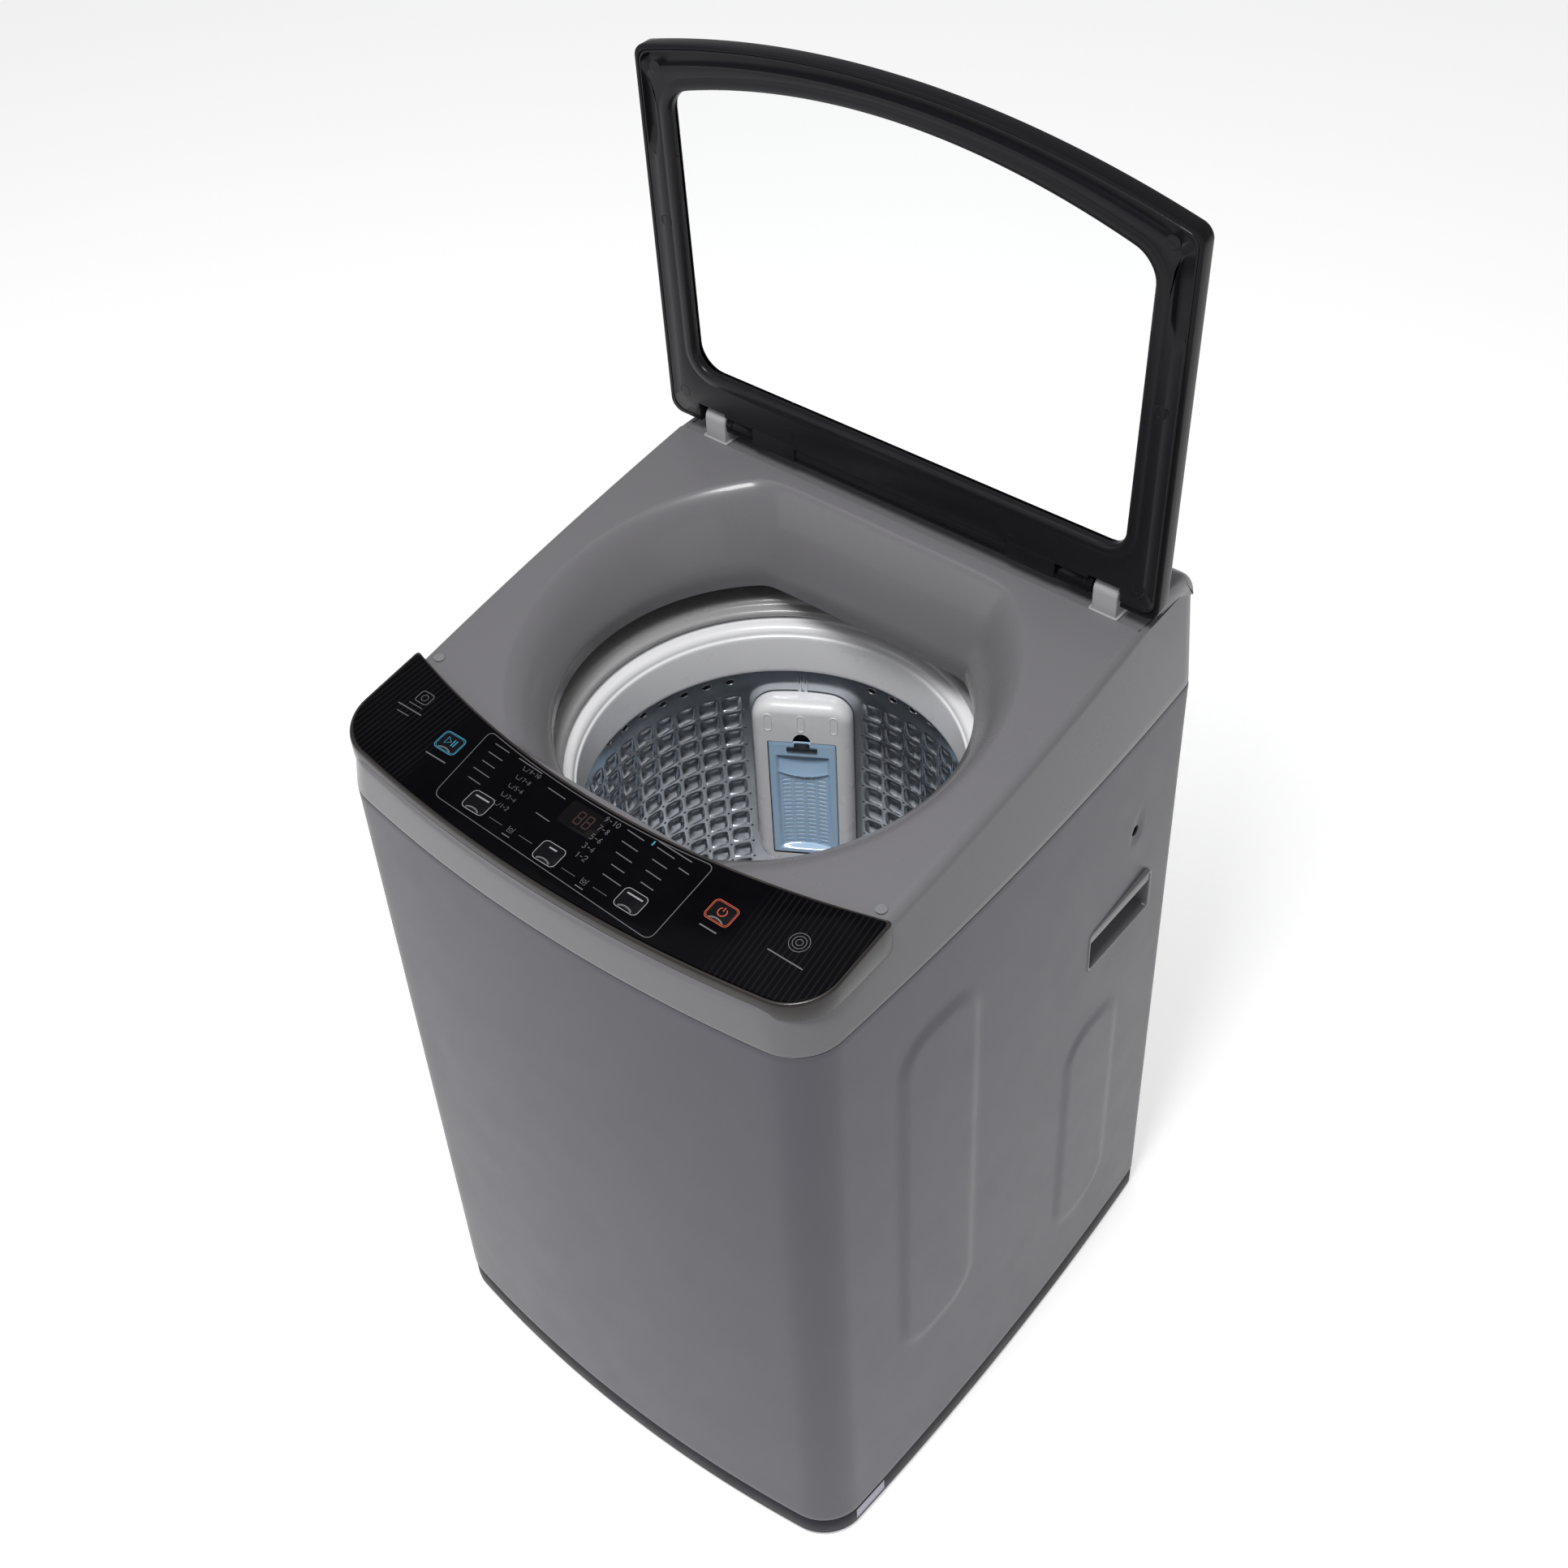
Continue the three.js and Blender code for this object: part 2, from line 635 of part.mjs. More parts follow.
function makeLid() {
  const split = -6;
  const bossRoom = [-1, 1].map((side) => {
    const x = side * hingePostX;
    return block(x - 29, x + 29, hingeY - 12, hingeY + 3.2, hingeZ - 4.2, hingeZ + 17);
  });
  const plateRoom = hingePlates.map((x0) => hingePlate(x0, gap));
  let outer = lidPlate(lidPlan(), lidInner + 1.5, lidOuter).subtract(lidPlate(windowPlan(-2), -60, 60));
  const tray = lidPlate(lidPlan(4), -60, split + gap).subtract(lidPlate(windowPlan(-8), -80, 80));
  outer = outer.subtract(tray);
  outer = outer.subtract(lidPlate(windowPlan(9 + gap), -60, 1.8));
  outer = cutAll(cutAll(outer, notches(0)), pinHoles());
  addPart('lid_outer_frame', outer, blackGloss);

  let inner = lidPlate(lidPlan(4 + gap), lidInner, split).subtract(lidPlate(windowPlan(), -60, 60));
  inner = cutAll(cutAll(inner, notches(0)), pinHoles());
  inner = cutAll(cutAll(inner, bossRoom), plateRoom);
  addPart('lid_inner_frame', inner, blackGloss);

  const glass = lidPlate(windowPlan(9), -2.4, 1.5);
  addPart('lid_glass', glass, clearGlass);
}

// Hinge cover plates on the lid's rear bar, the posts that carry the lid, and their pins.
function makeHinges() {
  for (const [name, side] of [['left', -1], ['right', 1]]) {
    const x = side * hingePostX;
    const half = postWidth / 2;
    const foot = wellFloor + gap;
    const profile = [[hingeY - 11, foot], [hingeY + 11, foot]];
    for (let i = 0; i <= 6; i++) {
      const angle = Math.PI * (i / 6);
      profile.push([hingeY + 11 * Math.cos(angle), hingeZ + 11 * Math.sin(angle)]);
    }
    const post = sidePlate(profile, x - half, x + half).subtract(
      rod(pinRadius + gap, [x - 20, hingeY, hingeZ], [x + 20, hingeY, hingeZ], 16),
    );
    addPart(`hinge_post_${name}`, post, paleGrey);
    addPart(
      `hinge_pin_${name}`,
      rod(pinRadius, [x - 25, hingeY, hingeZ], [x + 25, hingeY, hingeZ], 16),
      zincSteel,
    );
    addPart(`hinge_cover_${name}`, hingePlate(hingePlates[(side + 1) / 2], 0), blackGloss);
  }
}

function makeTopDetails() {
  const bufferY = -158;
  for (const [name, side] of [['left', -1], ['right', 1]]) {
    const x = side * 258;
    const z = coverTopAt(bufferY) + 0.9;
    addPart(`lid_buffer_${name}`, disc(5.5, z, z + 0.6 + gap, x, bufferY, 16), clearGlass);
  }
  addPart('lid_switch', block(205, 255, 243, 268, 900, 925), whitePlastic);
  // The inlet valve, with the duct that it feeds and that pours into the tub.
  const valve = block(-215, -165, 246, 286, 845, 891)
    .add(rod(13, [-190, 280, 868], [-190, 303.5, 868], 16))
    .subtract(rod(9, [-190, 270, 868], [-190, 310, 868], 12));
  const duct = block(-166, -40, 206, 286, 880, 916).subtract(block(-162, -44, 200, 282, 884, 912));
  addPart('inlet_valve', valve.add(duct), whitePlastic);
  const gland = rod(9, [glandX, 290, glandZ], [glandX, rearY + 1.8, glandZ], 16);
  const bore = rod(4, [glandX, 280, glandZ], [glandX, 310, glandZ], 12);
  addPart('cord_gland', gland.subtract(bore), rubberBlack);
}

// ---- tub, hung on four rods ----

const lugBottom = 430;
const lugTop = 446;
const rodTop = 800;
const springBottom = 352;

function makeTub() {
  const wall = 3;
  const flange = tubRadius + 5;
  let tub = turned([
    [30, tubFloor],
    [tubRadius, tubFloor],
    [tubRadius, tubTop - 8],
    [flange, tubTop - 8],
    [flange, tubTop],
    [tubRadius - wall, tubTop],
    [tubRadius - wall, tubFloor + 4],
    [30, tubFloor + 4],
  ]);
  const hollow = disc(tubRadius - wall / 2, tubFloor + 1, tubTop + 1);
  const lugs = corners.map(([, sx, sy]) => {
    const arm = block(140, Math.hypot(rodX, rodOffsetY) + 15, -16, 16, lugBottom, lugTop);
    const angle = (180 / Math.PI) * Math.atan2(sy, sx);
    return arm.rotate([0, 0, angle]).translate([0, drumY, 0]).subtract(hollow);
  });
  for (const lug of lugs) tub = tub.add(lug);
  for (const [, sx, sy] of corners) {
    tub = tub.subtract(disc(7, lugBottom - 5, lugTop + 5, sx * rodX, sy * rodOffsetY + drumY, 16));
  }
  tub = tub.subtract(disc(16, tubFloor - 2, tubFloor + 6, 120, 90, 20));
  addPart('outer_tub', tub, whitePlastic);
  addPart('tub_cover_ring', turned([
    [tubRadius + 5, tubTop + gap],
    [tubRadius + 5, tubTop + 9],
    [224, tubTop + 9],
    [219, tubTop + 15],
    [211, tubTop + 15],
    [204, tubTop + 4],
    [204, tubTop + gap],
  ]), greyPlastic);
  for (const [name, sx, sy] of corners) {
    const [x, y] = [sx * rodX, sy * rodOffsetY + drumY];
    const bar = disc(4, springBottom - 8, rodTop, x, y, 8);
    const cap = disc(17, springBottom - 12, springBottom - 4, x, y, 12);
    const head = disc(10, rodTop - 3.2, rodTop + 4, x, y, 8);
    addPart(`suspension_rod_${name}`, bar.add(cap).add(head), zincSteel);
    const spring = disc(15, springBottom - 3.5, lugBottom - gap, x, y, 12);
    addPart(
      `suspension_spring_${name}`,
      spring.subtract(disc(5.5, springBottom - 10, lugBottom + 5, x, y, 8)),
      zincSteel,
    );
  }
}

// ---- drum ----

const filterAngle = 121; // degrees round from +X, as seen from above

// Places a solid made on the +X side of the drum at the lint filter's angle.
function atFilter(solid) {
  return solid.translate([0, -drumY, 0]).rotate([0, 0, filterAngle]).translate([0, drumY, 0]);
}

function makeDrum() {
  addPart('drum_basket', turned([
    [drumRadius, drumFloor + 2],
    [drumRadius, drumTop],
    [drumRadius - 2, drumTop],
    [drumRadius - 2, drumFloor + 2],
  ], 48), stainless);
  addPart('drum_base', turned([
    [15.4, 200],
    [22, 200],
    [22, drumFloor],
    [drumRadius - 3.6, drumFloor],
    [drumRadius - 3.6, drumFloor + 14],
    [186, drumFloor + 12],
    [180, drumFloor + 4],
    [60, drumFloor + 4],
    [52, drumFloor + 10],
    [15.4, drumFloor + 10],
  ]), whitePlastic);
  addPart('balance_ring', turned([
    [ringRadius, drumTop + 8],
    [ringRadius + 4, drumTop + gap],
    [213, drumTop + gap],
    [213, ringTop - 12],
    [208, ringTop],
    [201, ringTop],
    [196, ringTop - 8],
    [190, ringTop - 34],
  ], 40), paleGrey);

  const face = drumRadius - 28;
  const halfWide = 54;
  const shape = new THREE.Shape();
  shape.moveTo(-halfWide + 12, 436);
  shape.lineTo(halfWide - 12, 436);
  roundedCorner(shape, [halfWide - 12, 436], [halfWide, 436], [halfWide, 448]);
  shape.lineTo(halfWide, 662);
  roundedCorner(shape, [halfWide, 662], [halfWide, 694], [halfWide - 34, 694]);
  shape.lineTo(-halfWide + 34, 694);
  roundedCorner(shape, [-halfWide + 34, 694], [-halfWide, 694], [-halfWide, 662]);
  shape.lineTo(-halfWide, 448);
  roundedCorner(shape, [-halfWide, 448], [-halfWide, 436], [-halfWide + 12, 436]);
  const onWall = (drawn, near, far) => {
    const extrusion = new THREE.ExtrudeGeometry(drawn, {
      depth: far - near,
      bevelEnabled: false,
      curveSegments: 5,
    });
    extrusion.applyMatrix4(new THREE.Matrix4().makeBasis(
      new THREE.Vector3(0, 1, 0),
      new THREE.Vector3(0, 0, 1),
      new THREE.Vector3(1, 0, 0),
    ));
    return toSolid(extrusion.translate(near, drumY, 0));
  };
  const within = disc(drumRadius - 3.2, 400, 720, 0, drumY, 48);
  const housing = onWall(shape, face, drumRadius + 10).intersect(within);
  const pocketHalf = 37;
  const pocketBottom = 455;
  const pocketTop = 627;
  const pocket = onWall(roundedRectangle(-pocketHalf, pocketHalf, pocketBottom, pocketTop, 5), face - 5, face + 14);
  addPart('lint_filter_housing', atFilter(housing.subtract(pocket)), greyPlastic);
  const trim = 0.8;
  const cassetteShape = roundedRectangle(
    -pocketHalf + trim,
    pocketHalf - trim,
    pocketBottom + trim,
    pocketTop - trim,
    5,
  );
  let cassette = onWall(cassetteShape, face + 0.5, face + 12);
  cassette = cassette.subtract(
    onWall(roundedRectangle(-pocketHalf + 6, pocketHalf - 6, pocketBottom + 6, pocketTop - 22, 5), face - 2, face + 9.5),
  );
  const latchHalf = 9;
  const latchSlot = onWall(roundedRectangle(-latchHalf - 0.6, latchHalf + 0.6, 612, 640, 2), face - 5, face + 7);
  addPart('lint_cassette', atFilter(cassette.subtract(latchSlot)), blueClear);
  addPart('lint_latch', atFilter(onWall(
    roundedRectangle(-latchHalf, latchHalf, 613, 625.6, 2),
    face - 1.5,
    face + 6.4,
  )), charcoal);
}

function makePulsator() {
  const discBottom = drumFloor + 16;
  let pulsator = turned([
    [10, discBottom],
    [165, discBottom],
    [170, discBottom + 5],
    [165, discBottom + 9],
    [70, discBottom + 14],
    [46, discBottom + 46],
    [22, discBottom + 52],
    [22, discBottom + 44],
    [10, discBottom + 44],
  ], 40);
  const vanes = 6;
  for (let i = 0; i < vanes; i++) {
    const vane = sidePlate([
      [40, discBottom + 8],
      [156, discBottom + 6],
      [156, discBottom + 14],
      [120, discBottom + 30],
      [40, discBottom + 40],
    ], -6, 6);
    pulsator = pulsator.add(vane.rotate([0, 0, (360 / vanes) * i]).translate([0, drumY, 0]).subtract(
      disc(30, 0, 600, 0, drumY, 24),
    ));
  }
  addPart('pulsator', pulsator, paleGrey);
  addPart('pulsator_cap', disc(21, discBottom + 44 + gap, discBottom + 53, 0, drumY, 24), paleGrey);
  const shaft = disc(9.5, 206, discBottom + 43, 0, drumY, 12);
  addPart('agitator_shaft', shaft, stainless);
}

// ---- drive and drain, carried under the tub ----

function makeDrive() {
  addPart('gearbox', turned([
    [22.5, 198],
    [22.5, tubFloor - gap],
    [84, tubFloor - gap],
    [84, 262],
    [62, 256],
    [62, 158],
    [40, 150],
    [10.6, 150],
    [10.6, 192],
  ], 24), zincSteel);
  const bracket = prism(roundedRectangle(motorX - 78, 78, motorY - 78, 78, 30), 244, 248, 2);
  const bracketHoles = [disc(62.8, 240, 252, 0, drumY, 24), disc(12, 240, 252, motorX, motorY, 12)];
  addPart('motor_bracket', cutAll(bracket, bracketHoles), zincSteel);
  addPart('motor', turned([
    [7.6, 148],
    [30, 148],
    [64, 158],
    [64, 236],
    [30, 243.6],
    [7.6, 243.6],
  ], 24, motorX, motorY), zincSteel);

  // A grooved pulley on its shaft, which reaches up to shaftTop.
  const pulley = (radius, shaftRadius, shaftTop) => [
    [0, pulleyBottom - 6],
    [shaftRadius, pulleyBottom - 6],
    [shaftRadius, pulleyBottom],
    [radius + 4, pulleyBottom],
    [radius, pulleyBottom + 4.5],
    [radius, pulleyTop - 4.5],
    [radius + 4, pulleyTop],
    [shaftRadius, pulleyTop],
    [shaftRadius, shaftTop],
    [0, shaftTop],
  ];
  addPart('drive_pulley', turned(pulley(drivePulleyRadius, 8.7, 190), 28), zincSteel);
  addPart('motor_pulley', turned(pulley(motorPulleyRadius, 7, 240), 20, motorX, motorY), zincSteel);

  const beltBottom = pulleyBottom + 5;
  const beltTop = pulleyTop - 5;
  const along = new THREE.Vector2(motorX, motorY - drumY);
  const span = along.length();
  const lean = (drivePulleyRadius - motorPulleyRadius) / span;
  const strip = (grow) => {
    const big = drivePulleyRadius + grow;
    const small = motorPulleyRadius + grow;
    const angle = Math.acos(lean);
    const shape = new THREE.Shape();
    shape.absarc(0, 0, big, angle, 2 * Math.PI - angle, false);
    shape.absarc(span, 0, small, -angle, angle, false);
    const turn = (180 / Math.PI) * Math.atan2(along.y, along.x);
    return prism(shape, beltBottom, beltTop, 8).rotate([0, 0, turn]).translate([0, drumY, 0]);
  };
  const cut = strip(0.5).scale([1, 1, 2]).translate([0, 0, -beltBottom - 4]);
  addPart('drive_belt', strip(4).subtract(cut), rubberBlack);

  const [valveX, valveY] = [120, 90];
  const valve = disc(24, 226, tubFloor - gap, valveX, valveY, 16)
    .add(disc(13, 190, 230, valveX, valveY, 12))
    .add(block(valveX + 18, valveX + 66, valveY - 14, valveY + 14, 232, 262));
  addPart('drain_valve', valve.subtract(disc(10, 180, tubFloor + 2, valveX, valveY, 12)), charcoal);

  const route = new THREE.CatmullRomCurve3([
    [valveX, valveY, 204],
    [valveX, valveY, 160],
    [valveX + 14, valveY + 24, 108],
    [valveX + 20, valveY + 84, 82],
    [valveX + 10, valveY + 150, 78],
    [valveX, valveY + 196, 78],
  ].map((point) => new THREE.Vector3(...point)));
  const section = (radius) => new THREE.Shape().absarc(0, 0, radius, 0, 2 * Math.PI);
  const sweep = (radius) => toSolid(new THREE.ExtrudeGeometry(section(radius), {
    steps: 14,
    extrudePath: route,
    curveSegments: 5,
    bevelEnabled: false,
  }));
  const hose = sweep(19).subtract(sweep(16));
  addPart('drain_hose', hose, rubberBlack);
}

makeCabinet();
makeHandle('handle_pocket_left', -1);
makeHandle('handle_pocket_right', 1);
makeBase();
makeTopCover();
makePanel();
makeLid();
makeHinges();
makeTopDetails();
makeTub();
makeDrum();
makePulsator();
makeDrive();

export default machine;
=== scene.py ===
import math
import random

import bpy
import bmesh
from mathutils import Matrix, Vector


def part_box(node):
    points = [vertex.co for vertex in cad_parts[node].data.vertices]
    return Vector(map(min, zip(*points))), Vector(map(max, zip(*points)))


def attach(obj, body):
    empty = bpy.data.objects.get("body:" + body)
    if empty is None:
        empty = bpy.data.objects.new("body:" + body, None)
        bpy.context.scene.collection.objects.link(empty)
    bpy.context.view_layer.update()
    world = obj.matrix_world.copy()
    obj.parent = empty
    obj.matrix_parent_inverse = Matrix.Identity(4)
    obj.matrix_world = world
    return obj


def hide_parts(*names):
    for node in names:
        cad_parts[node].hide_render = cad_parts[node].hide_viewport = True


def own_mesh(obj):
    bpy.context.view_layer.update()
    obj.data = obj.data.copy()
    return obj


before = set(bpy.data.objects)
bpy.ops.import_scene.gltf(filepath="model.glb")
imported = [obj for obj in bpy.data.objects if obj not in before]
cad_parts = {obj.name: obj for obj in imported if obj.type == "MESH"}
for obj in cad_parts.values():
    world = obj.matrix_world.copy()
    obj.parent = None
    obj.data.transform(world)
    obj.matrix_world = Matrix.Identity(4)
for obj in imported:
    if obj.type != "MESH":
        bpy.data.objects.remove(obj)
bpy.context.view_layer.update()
scene = bpy.context.scene
mm = 0.001

hands = ((-1, "left"), (1, "right"))
corners = [(f"{end}_{hand}", sx, sy) for end, sy in (("front", -1), ("rear", 1)) for sx, hand in hands]

# Sizes shared by several pieces, in millimetres, all within the frame's own box
halfWidth = 280.0
frontY = -279.0
frontBow = 26.1
sideBulge = 8.0
rearY = 303.2
seamZ = 815.5
drumY = 8.0
coverSlope = 0.14
hingeY = 222.0
hingeZ = 955.0
lidInner = -13.8
slopeAngle = math.atan(coverSlope)


def coverTopAt(y):
    return 937.0 + coverSlope * (y - 202.0)


print("stage 1: camera and lights")

cameraSettings = {
    "place": (0.9508, -1.0541, 2.1665),
    "yaw": 42.456,
    "pitch": 41.616,
    "roll": -4.011,
    "lens": 48.05,
    "shift": (0.0230, -0.0776),
}


def makeCamera(s):
    yaw, pitch, roll = (math.radians(s[k]) for k in ("yaw", "pitch", "roll"))
    ahead = Vector((-math.sin(yaw) * math.cos(pitch), math.cos(yaw) * math.cos(pitch), -math.sin(pitch)))
    level = Vector((math.cos(yaw), math.sin(yaw), 0.0))
    above = level.cross(ahead)
    right = math.cos(roll) * level + math.sin(roll) * above
    up = -math.sin(roll) * level + math.cos(roll) * above
    data = bpy.data.cameras.new("photographer")
    data.lens = s["lens"]
    data.sensor_width = 36.0
    data.shift_x, data.shift_y = s["shift"]
    data.clip_start, data.clip_end = 0.05, 60.0
    camera = bpy.data.objects.new("photographer", data)
    camera.matrix_world = Matrix((
        (right.x, up.x, -ahead.x, s["place"][0]),
        (right.y, up.y, -ahead.y, s["place"][1]),
        (right.z, up.z, -ahead.z, s["place"][2]),
        (0.0, 0.0, 0.0, 1.0),
    ))
    scene.collection.objects.link(camera)
    scene.camera = camera


lightSettings = {
    # name: place, aim, size and power
    "ceiling": ((-0.4, -0.6, 3.6), (0.0, 0.0, 0.7), 2.6, 22.0),
    "frontLeft": ((-2.4, -2.9, 1.9), (0.0, -0.1, 0.6), 2.2, 17.0),
    "intoDrum": ((0.35, -0.75, 2.7), (-0.05, 0.1, 0.7), 0.5, 36.0),
    "right": ((3.0, -1.2, 1.5), (0.2, 0.0, 0.5), 1.8, 7.0),
}
worldStrength = 0.36


def makeLights():
    for name, (place, aim, size, power) in lightSettings.items():
        data = bpy.data.lights.new(name, "AREA")
        data.shape = "SQUARE"
        data.size = size
        data.energy = power
        lamp = bpy.data.objects.new(name, data)
        lamp.location = place
        lamp.rotation_euler = (Vector(aim) - Vector(place)).to_track_quat("-Z", "Y").to_euler()
        scene.collection.objects.link(lamp)
    world = bpy.data.worlds.new("studio")
    scene.world = world
    world.use_nodes = True
    background = world.node_tree.nodes["Background"]
    background.inputs["Color"].default_value = (1.0, 1.0, 1.0, 1.0)
    background.inputs["Strength"].default_value = worldStrength
    scene.view_settings.view_transform = "Standard"


makeCamera(cameraSettings)
makeLights()

print("stage 2: finishes")


def newMaterial(name):
    material = bpy.data.materials.new(name)
    material.use_nodes = True
    tree = material.node_tree
    return material, tree, tree.nodes["Principled BSDF"]


def addNode(tree, kind, inputs=(), **values):
    node = tree.nodes.new(kind)
    for key, value in values.items():
        setattr(node, key, value)
    for key, value in dict(inputs).items():
        if isinstance(value, bpy.types.NodeSocket):
            tree.links.new(value, node.inputs[key])
        else:
            node.inputs[key].default_value = value
    return node


def mathsIn(tree):
    # a short way to add math nodes to one tree
    def maths(operation, *values):
        return addNode(tree, "ShaderNodeMath", enumerate(values), operation=operation).outputs[0]
    return maths


def noiseOf(tree, place, scale, detail=3.0, stretch=(1.0, 1.0, 1.0)):
    mapped = addNode(tree, "ShaderNodeMapping", {"Vector": place, "Scale": stretch}).outputs[0]
    values = {"Vector": mapped, "Scale": scale, "Detail": detail}
    return addNode(tree, "ShaderNodeTexNoise", values).outputs[0]


def spread(tree, value, low, high):
    # takes the useful middle of a noise to the range low to high
    return addNode(tree, "ShaderNodeMapRange", {"Value": value, 1: 0.3, 2: 0.7, 3: low, 4: high}).outputs[0]


def tintOf(tree, share, first, second):
    node = addNode(tree, "ShaderNodeMix", {0: share, 6: (*first, 1.0), 7: (*second, 1.0)}, data_type="RGBA")
    return node.outputs[2]


finishDefaults = {
    "broad": 6.0, "fine": 900.0, "speckle": 0.3, "roughSwing": 0.05, "patch": 22.0, "stretch": (1.0, 1.0, 1.0),
    "metal": 0.0, "ior": 1.5, "specular": 0.5, "coat": 0.0, "coatRough": 0.08, "clear": 0.0,
    "glow": None, "glowPower": 1.0,
}
finishSockets = {
    "metal": "Metallic", "ior": "IOR", "specular": "Specular IOR Level", "coat": "Coat Weight",
    "coatRough": "Coat Roughness", "clear": "Transmission Weight",
}
bumpDistance = 0.0002


def makeFinish(name, color, rough, grain, bump, vary, more):
    # a moulded, painted or metal surface: uneven tone, uneven gloss and a fine surface texture
    s = {**finishDefaults, **more}
    material, tree, shader = newMaterial(name)
    place = addNode(tree, "ShaderNodeTexCoord").outputs["Object"]
    light = [min(1.0, c * (1.0 + vary)) for c in color]
    dark = [c * (1.0 - vary) for c in color]
    broad = spread(tree, noiseOf(tree, place, s["broad"]), 0.0, 1.0)
    fine = spread(tree, noiseOf(tree, place, s["fine"], 2.0, s["stretch"]), 0.0, 1.0)
    both = addNode(tree, "ShaderNodeMix", {0: s["speckle"], 2: broad, 3: fine}, data_type="FLOAT").outputs[0]
    tree.links.new(tintOf(tree, both, dark, light), shader.inputs["Base Color"])
    patch = noiseOf(tree, place, s["patch"], 5.0)
    gloss = spread(tree, patch, rough - s["roughSwing"], rough + s["roughSwing"])
    tree.links.new(gloss, shader.inputs["Roughness"])
    height = noiseOf(tree, place, grain, 2.0, s["stretch"])
    raised = addNode(tree, "ShaderNodeBump", {"Strength": bump, "Distance": bumpDistance, "Height": height})
    tree.links.new(raised.outputs[0], shader.inputs["Normal"])
    for key, socket in finishSockets.items():
        shader.inputs[socket].default_value = s[key]
    if s["glow"]:
        shader.inputs["Emission Color"].default_value = (*s["glow"], 1.0)
        shader.inputs["Emission Strength"].default_value = s["glowPower"]
    return material


finishes = {
    # name: colour, roughness, grain, bump, unevenness, and what else sets it apart
    "silverPaint": ((0.082, 0.079, 0.093), 0.36, 420.0, 0.1, 0.03, {"metal": 0.12, "fine": 2600.0,
        "speckle": 0.6, "roughSwing": 0.02, "broad": 2.5, "coat": 0.05, "coatRough": 0.25,
        "specular": 0.15}),
    "coverPlastic": ((0.128, 0.125, 0.134), 0.27, 1300.0, 0.02, 0.02, {"patch": 6.0, "fine": 2400.0,
        "speckle": 0.6, "roughSwing": 0.012, "broad": 2.5, "coat": 0.15, "coatRough": 0.08,
        "specular": 0.22}),
    "tubPlastic": ((0.34, 0.335, 0.34), 0.3, 500.0, 0.06, 0.05, {"coat": 0.3, "coatRough": 0.12}),
    "ringPlastic": ((0.78, 0.78, 0.8), 0.3, 500.0, 0.06, 0.04, {"coat": 0.3, "coatRough": 0.12}),
    "filterPlastic": ((0.74, 0.745, 0.76), 0.28, 500.0, 0.05, 0.04, {"coat": 0.3, "coatRough": 0.1}),
    "postPlastic": ((0.3, 0.3, 0.31), 0.34, 700.0, 0.08, 0.05, {}),
    "charcoalPlastic": ((0.014, 0.0135, 0.02), 0.5, 1800.0, 0.25, 0.12, {"specular": 0.15}),
    "latchPlastic": ((0.02, 0.026, 0.036), 0.3, 1200.0, 0.1, 0.12, {}),
    "bezelPlastic": ((0.022, 0.019, 0.018), 0.24, 900.0, 0.05, 0.1, {"metal": 0.1, "coat": 0.1,
        "specular": 0.25}),
    "lidPlastic": ((0.0075, 0.007, 0.009), 0.3, 1600.0, 0.14, 0.12, {"roughSwing": 0.03,
        "specular": 0.18}),
    "lidGloss": ((0.006, 0.006, 0.0075), 0.13, 700.0, 0.03, 0.1, {"specular": 0.1}),
    "keyGloss": ((0.0045, 0.0045, 0.006), 0.16, 700.0, 0.03, 0.1, {"specular": 0.06}),
    "displayGloss": ((0.004, 0.0035, 0.004), 0.05, 300.0, 0.02, 0.2, {"specular": 0.06}),
    # grey print, also used for the painted highlight on each key's thumb hollow
    "printGreyAndPaintedHighlight": ((0.085, 0.085, 0.09), 0.45, 2500.0, 0.05, 0.18, {}),
    "printPale": ((0.22, 0.22, 0.23), 0.45, 2500.0, 0.05, 0.12, {}),
    "printCyan": ((0.02, 0.16, 0.24), 0.4, 1400.0, 0.1, 0.12, {"glow": (0.02, 0.36, 0.52),
        "glowPower": 0.16}),
    "printOrange": ((0.3, 0.045, 0.015), 0.4, 1400.0, 0.1, 0.12, {"glow": (0.8, 0.1, 0.03),
        "glowPower": 0.12}),
    "displayRed": ((0.02, 0.004, 0.003), 0.4, 1400.0, 0.1, 0.1, {"glow": (0.2, 0.03, 0.02),
        "glowPower": 0.03}),
    "labelPaper": ((0.34, 0.33, 0.4), 0.5, 1500.0, 0.08, 0.05, {}),
    "drumSteel": ((0.5, 0.52, 0.55), 0.2, 1100.0, 0.06, 0.1, {"metal": 1.0,
        "stretch": (0.25, 0.25, 3.0), "roughSwing": 0.06}),
    "zincSteel": ((0.36, 0.37, 0.39), 0.36, 900.0, 0.16, 0.16, {"metal": 0.95, "roughSwing": 0.1}),
    "castAlloy": ((0.3, 0.3, 0.31), 0.52, 420.0, 0.45, 0.18, {"metal": 0.85}),
    "whitePlastic": ((0.6, 0.6, 0.58), 0.42, 900.0, 0.1, 0.06, {}),
    "netWhite": ((0.86, 0.87, 0.88), 0.5, 1600.0, 0.3, 0.05, {}),
    "blackRubber": ((0.014, 0.014, 0.016), 0.72, 1300.0, 0.35, 0.25, {}),
    "boardGreen": ((0.012, 0.075, 0.035), 0.38, 700.0, 0.3, 0.3, {}),
    "cassetteBlue": ((0.42, 0.6, 0.8), 0.16, 600.0, 0.05, 0.05, {"coat": 0.5, "ior": 1.45}),
    "clearBumper": ((0.26, 0.27, 0.28), 0.14, 500.0, 0.04, 0.03, {"clear": 0.4}),
    # painted shade: near-black for discs that stand in for the shade inside holes
    "paintedHoleShade": ((0.006, 0.006, 0.007), 0.9, 600.0, 0.2, 0.3, {}),
}


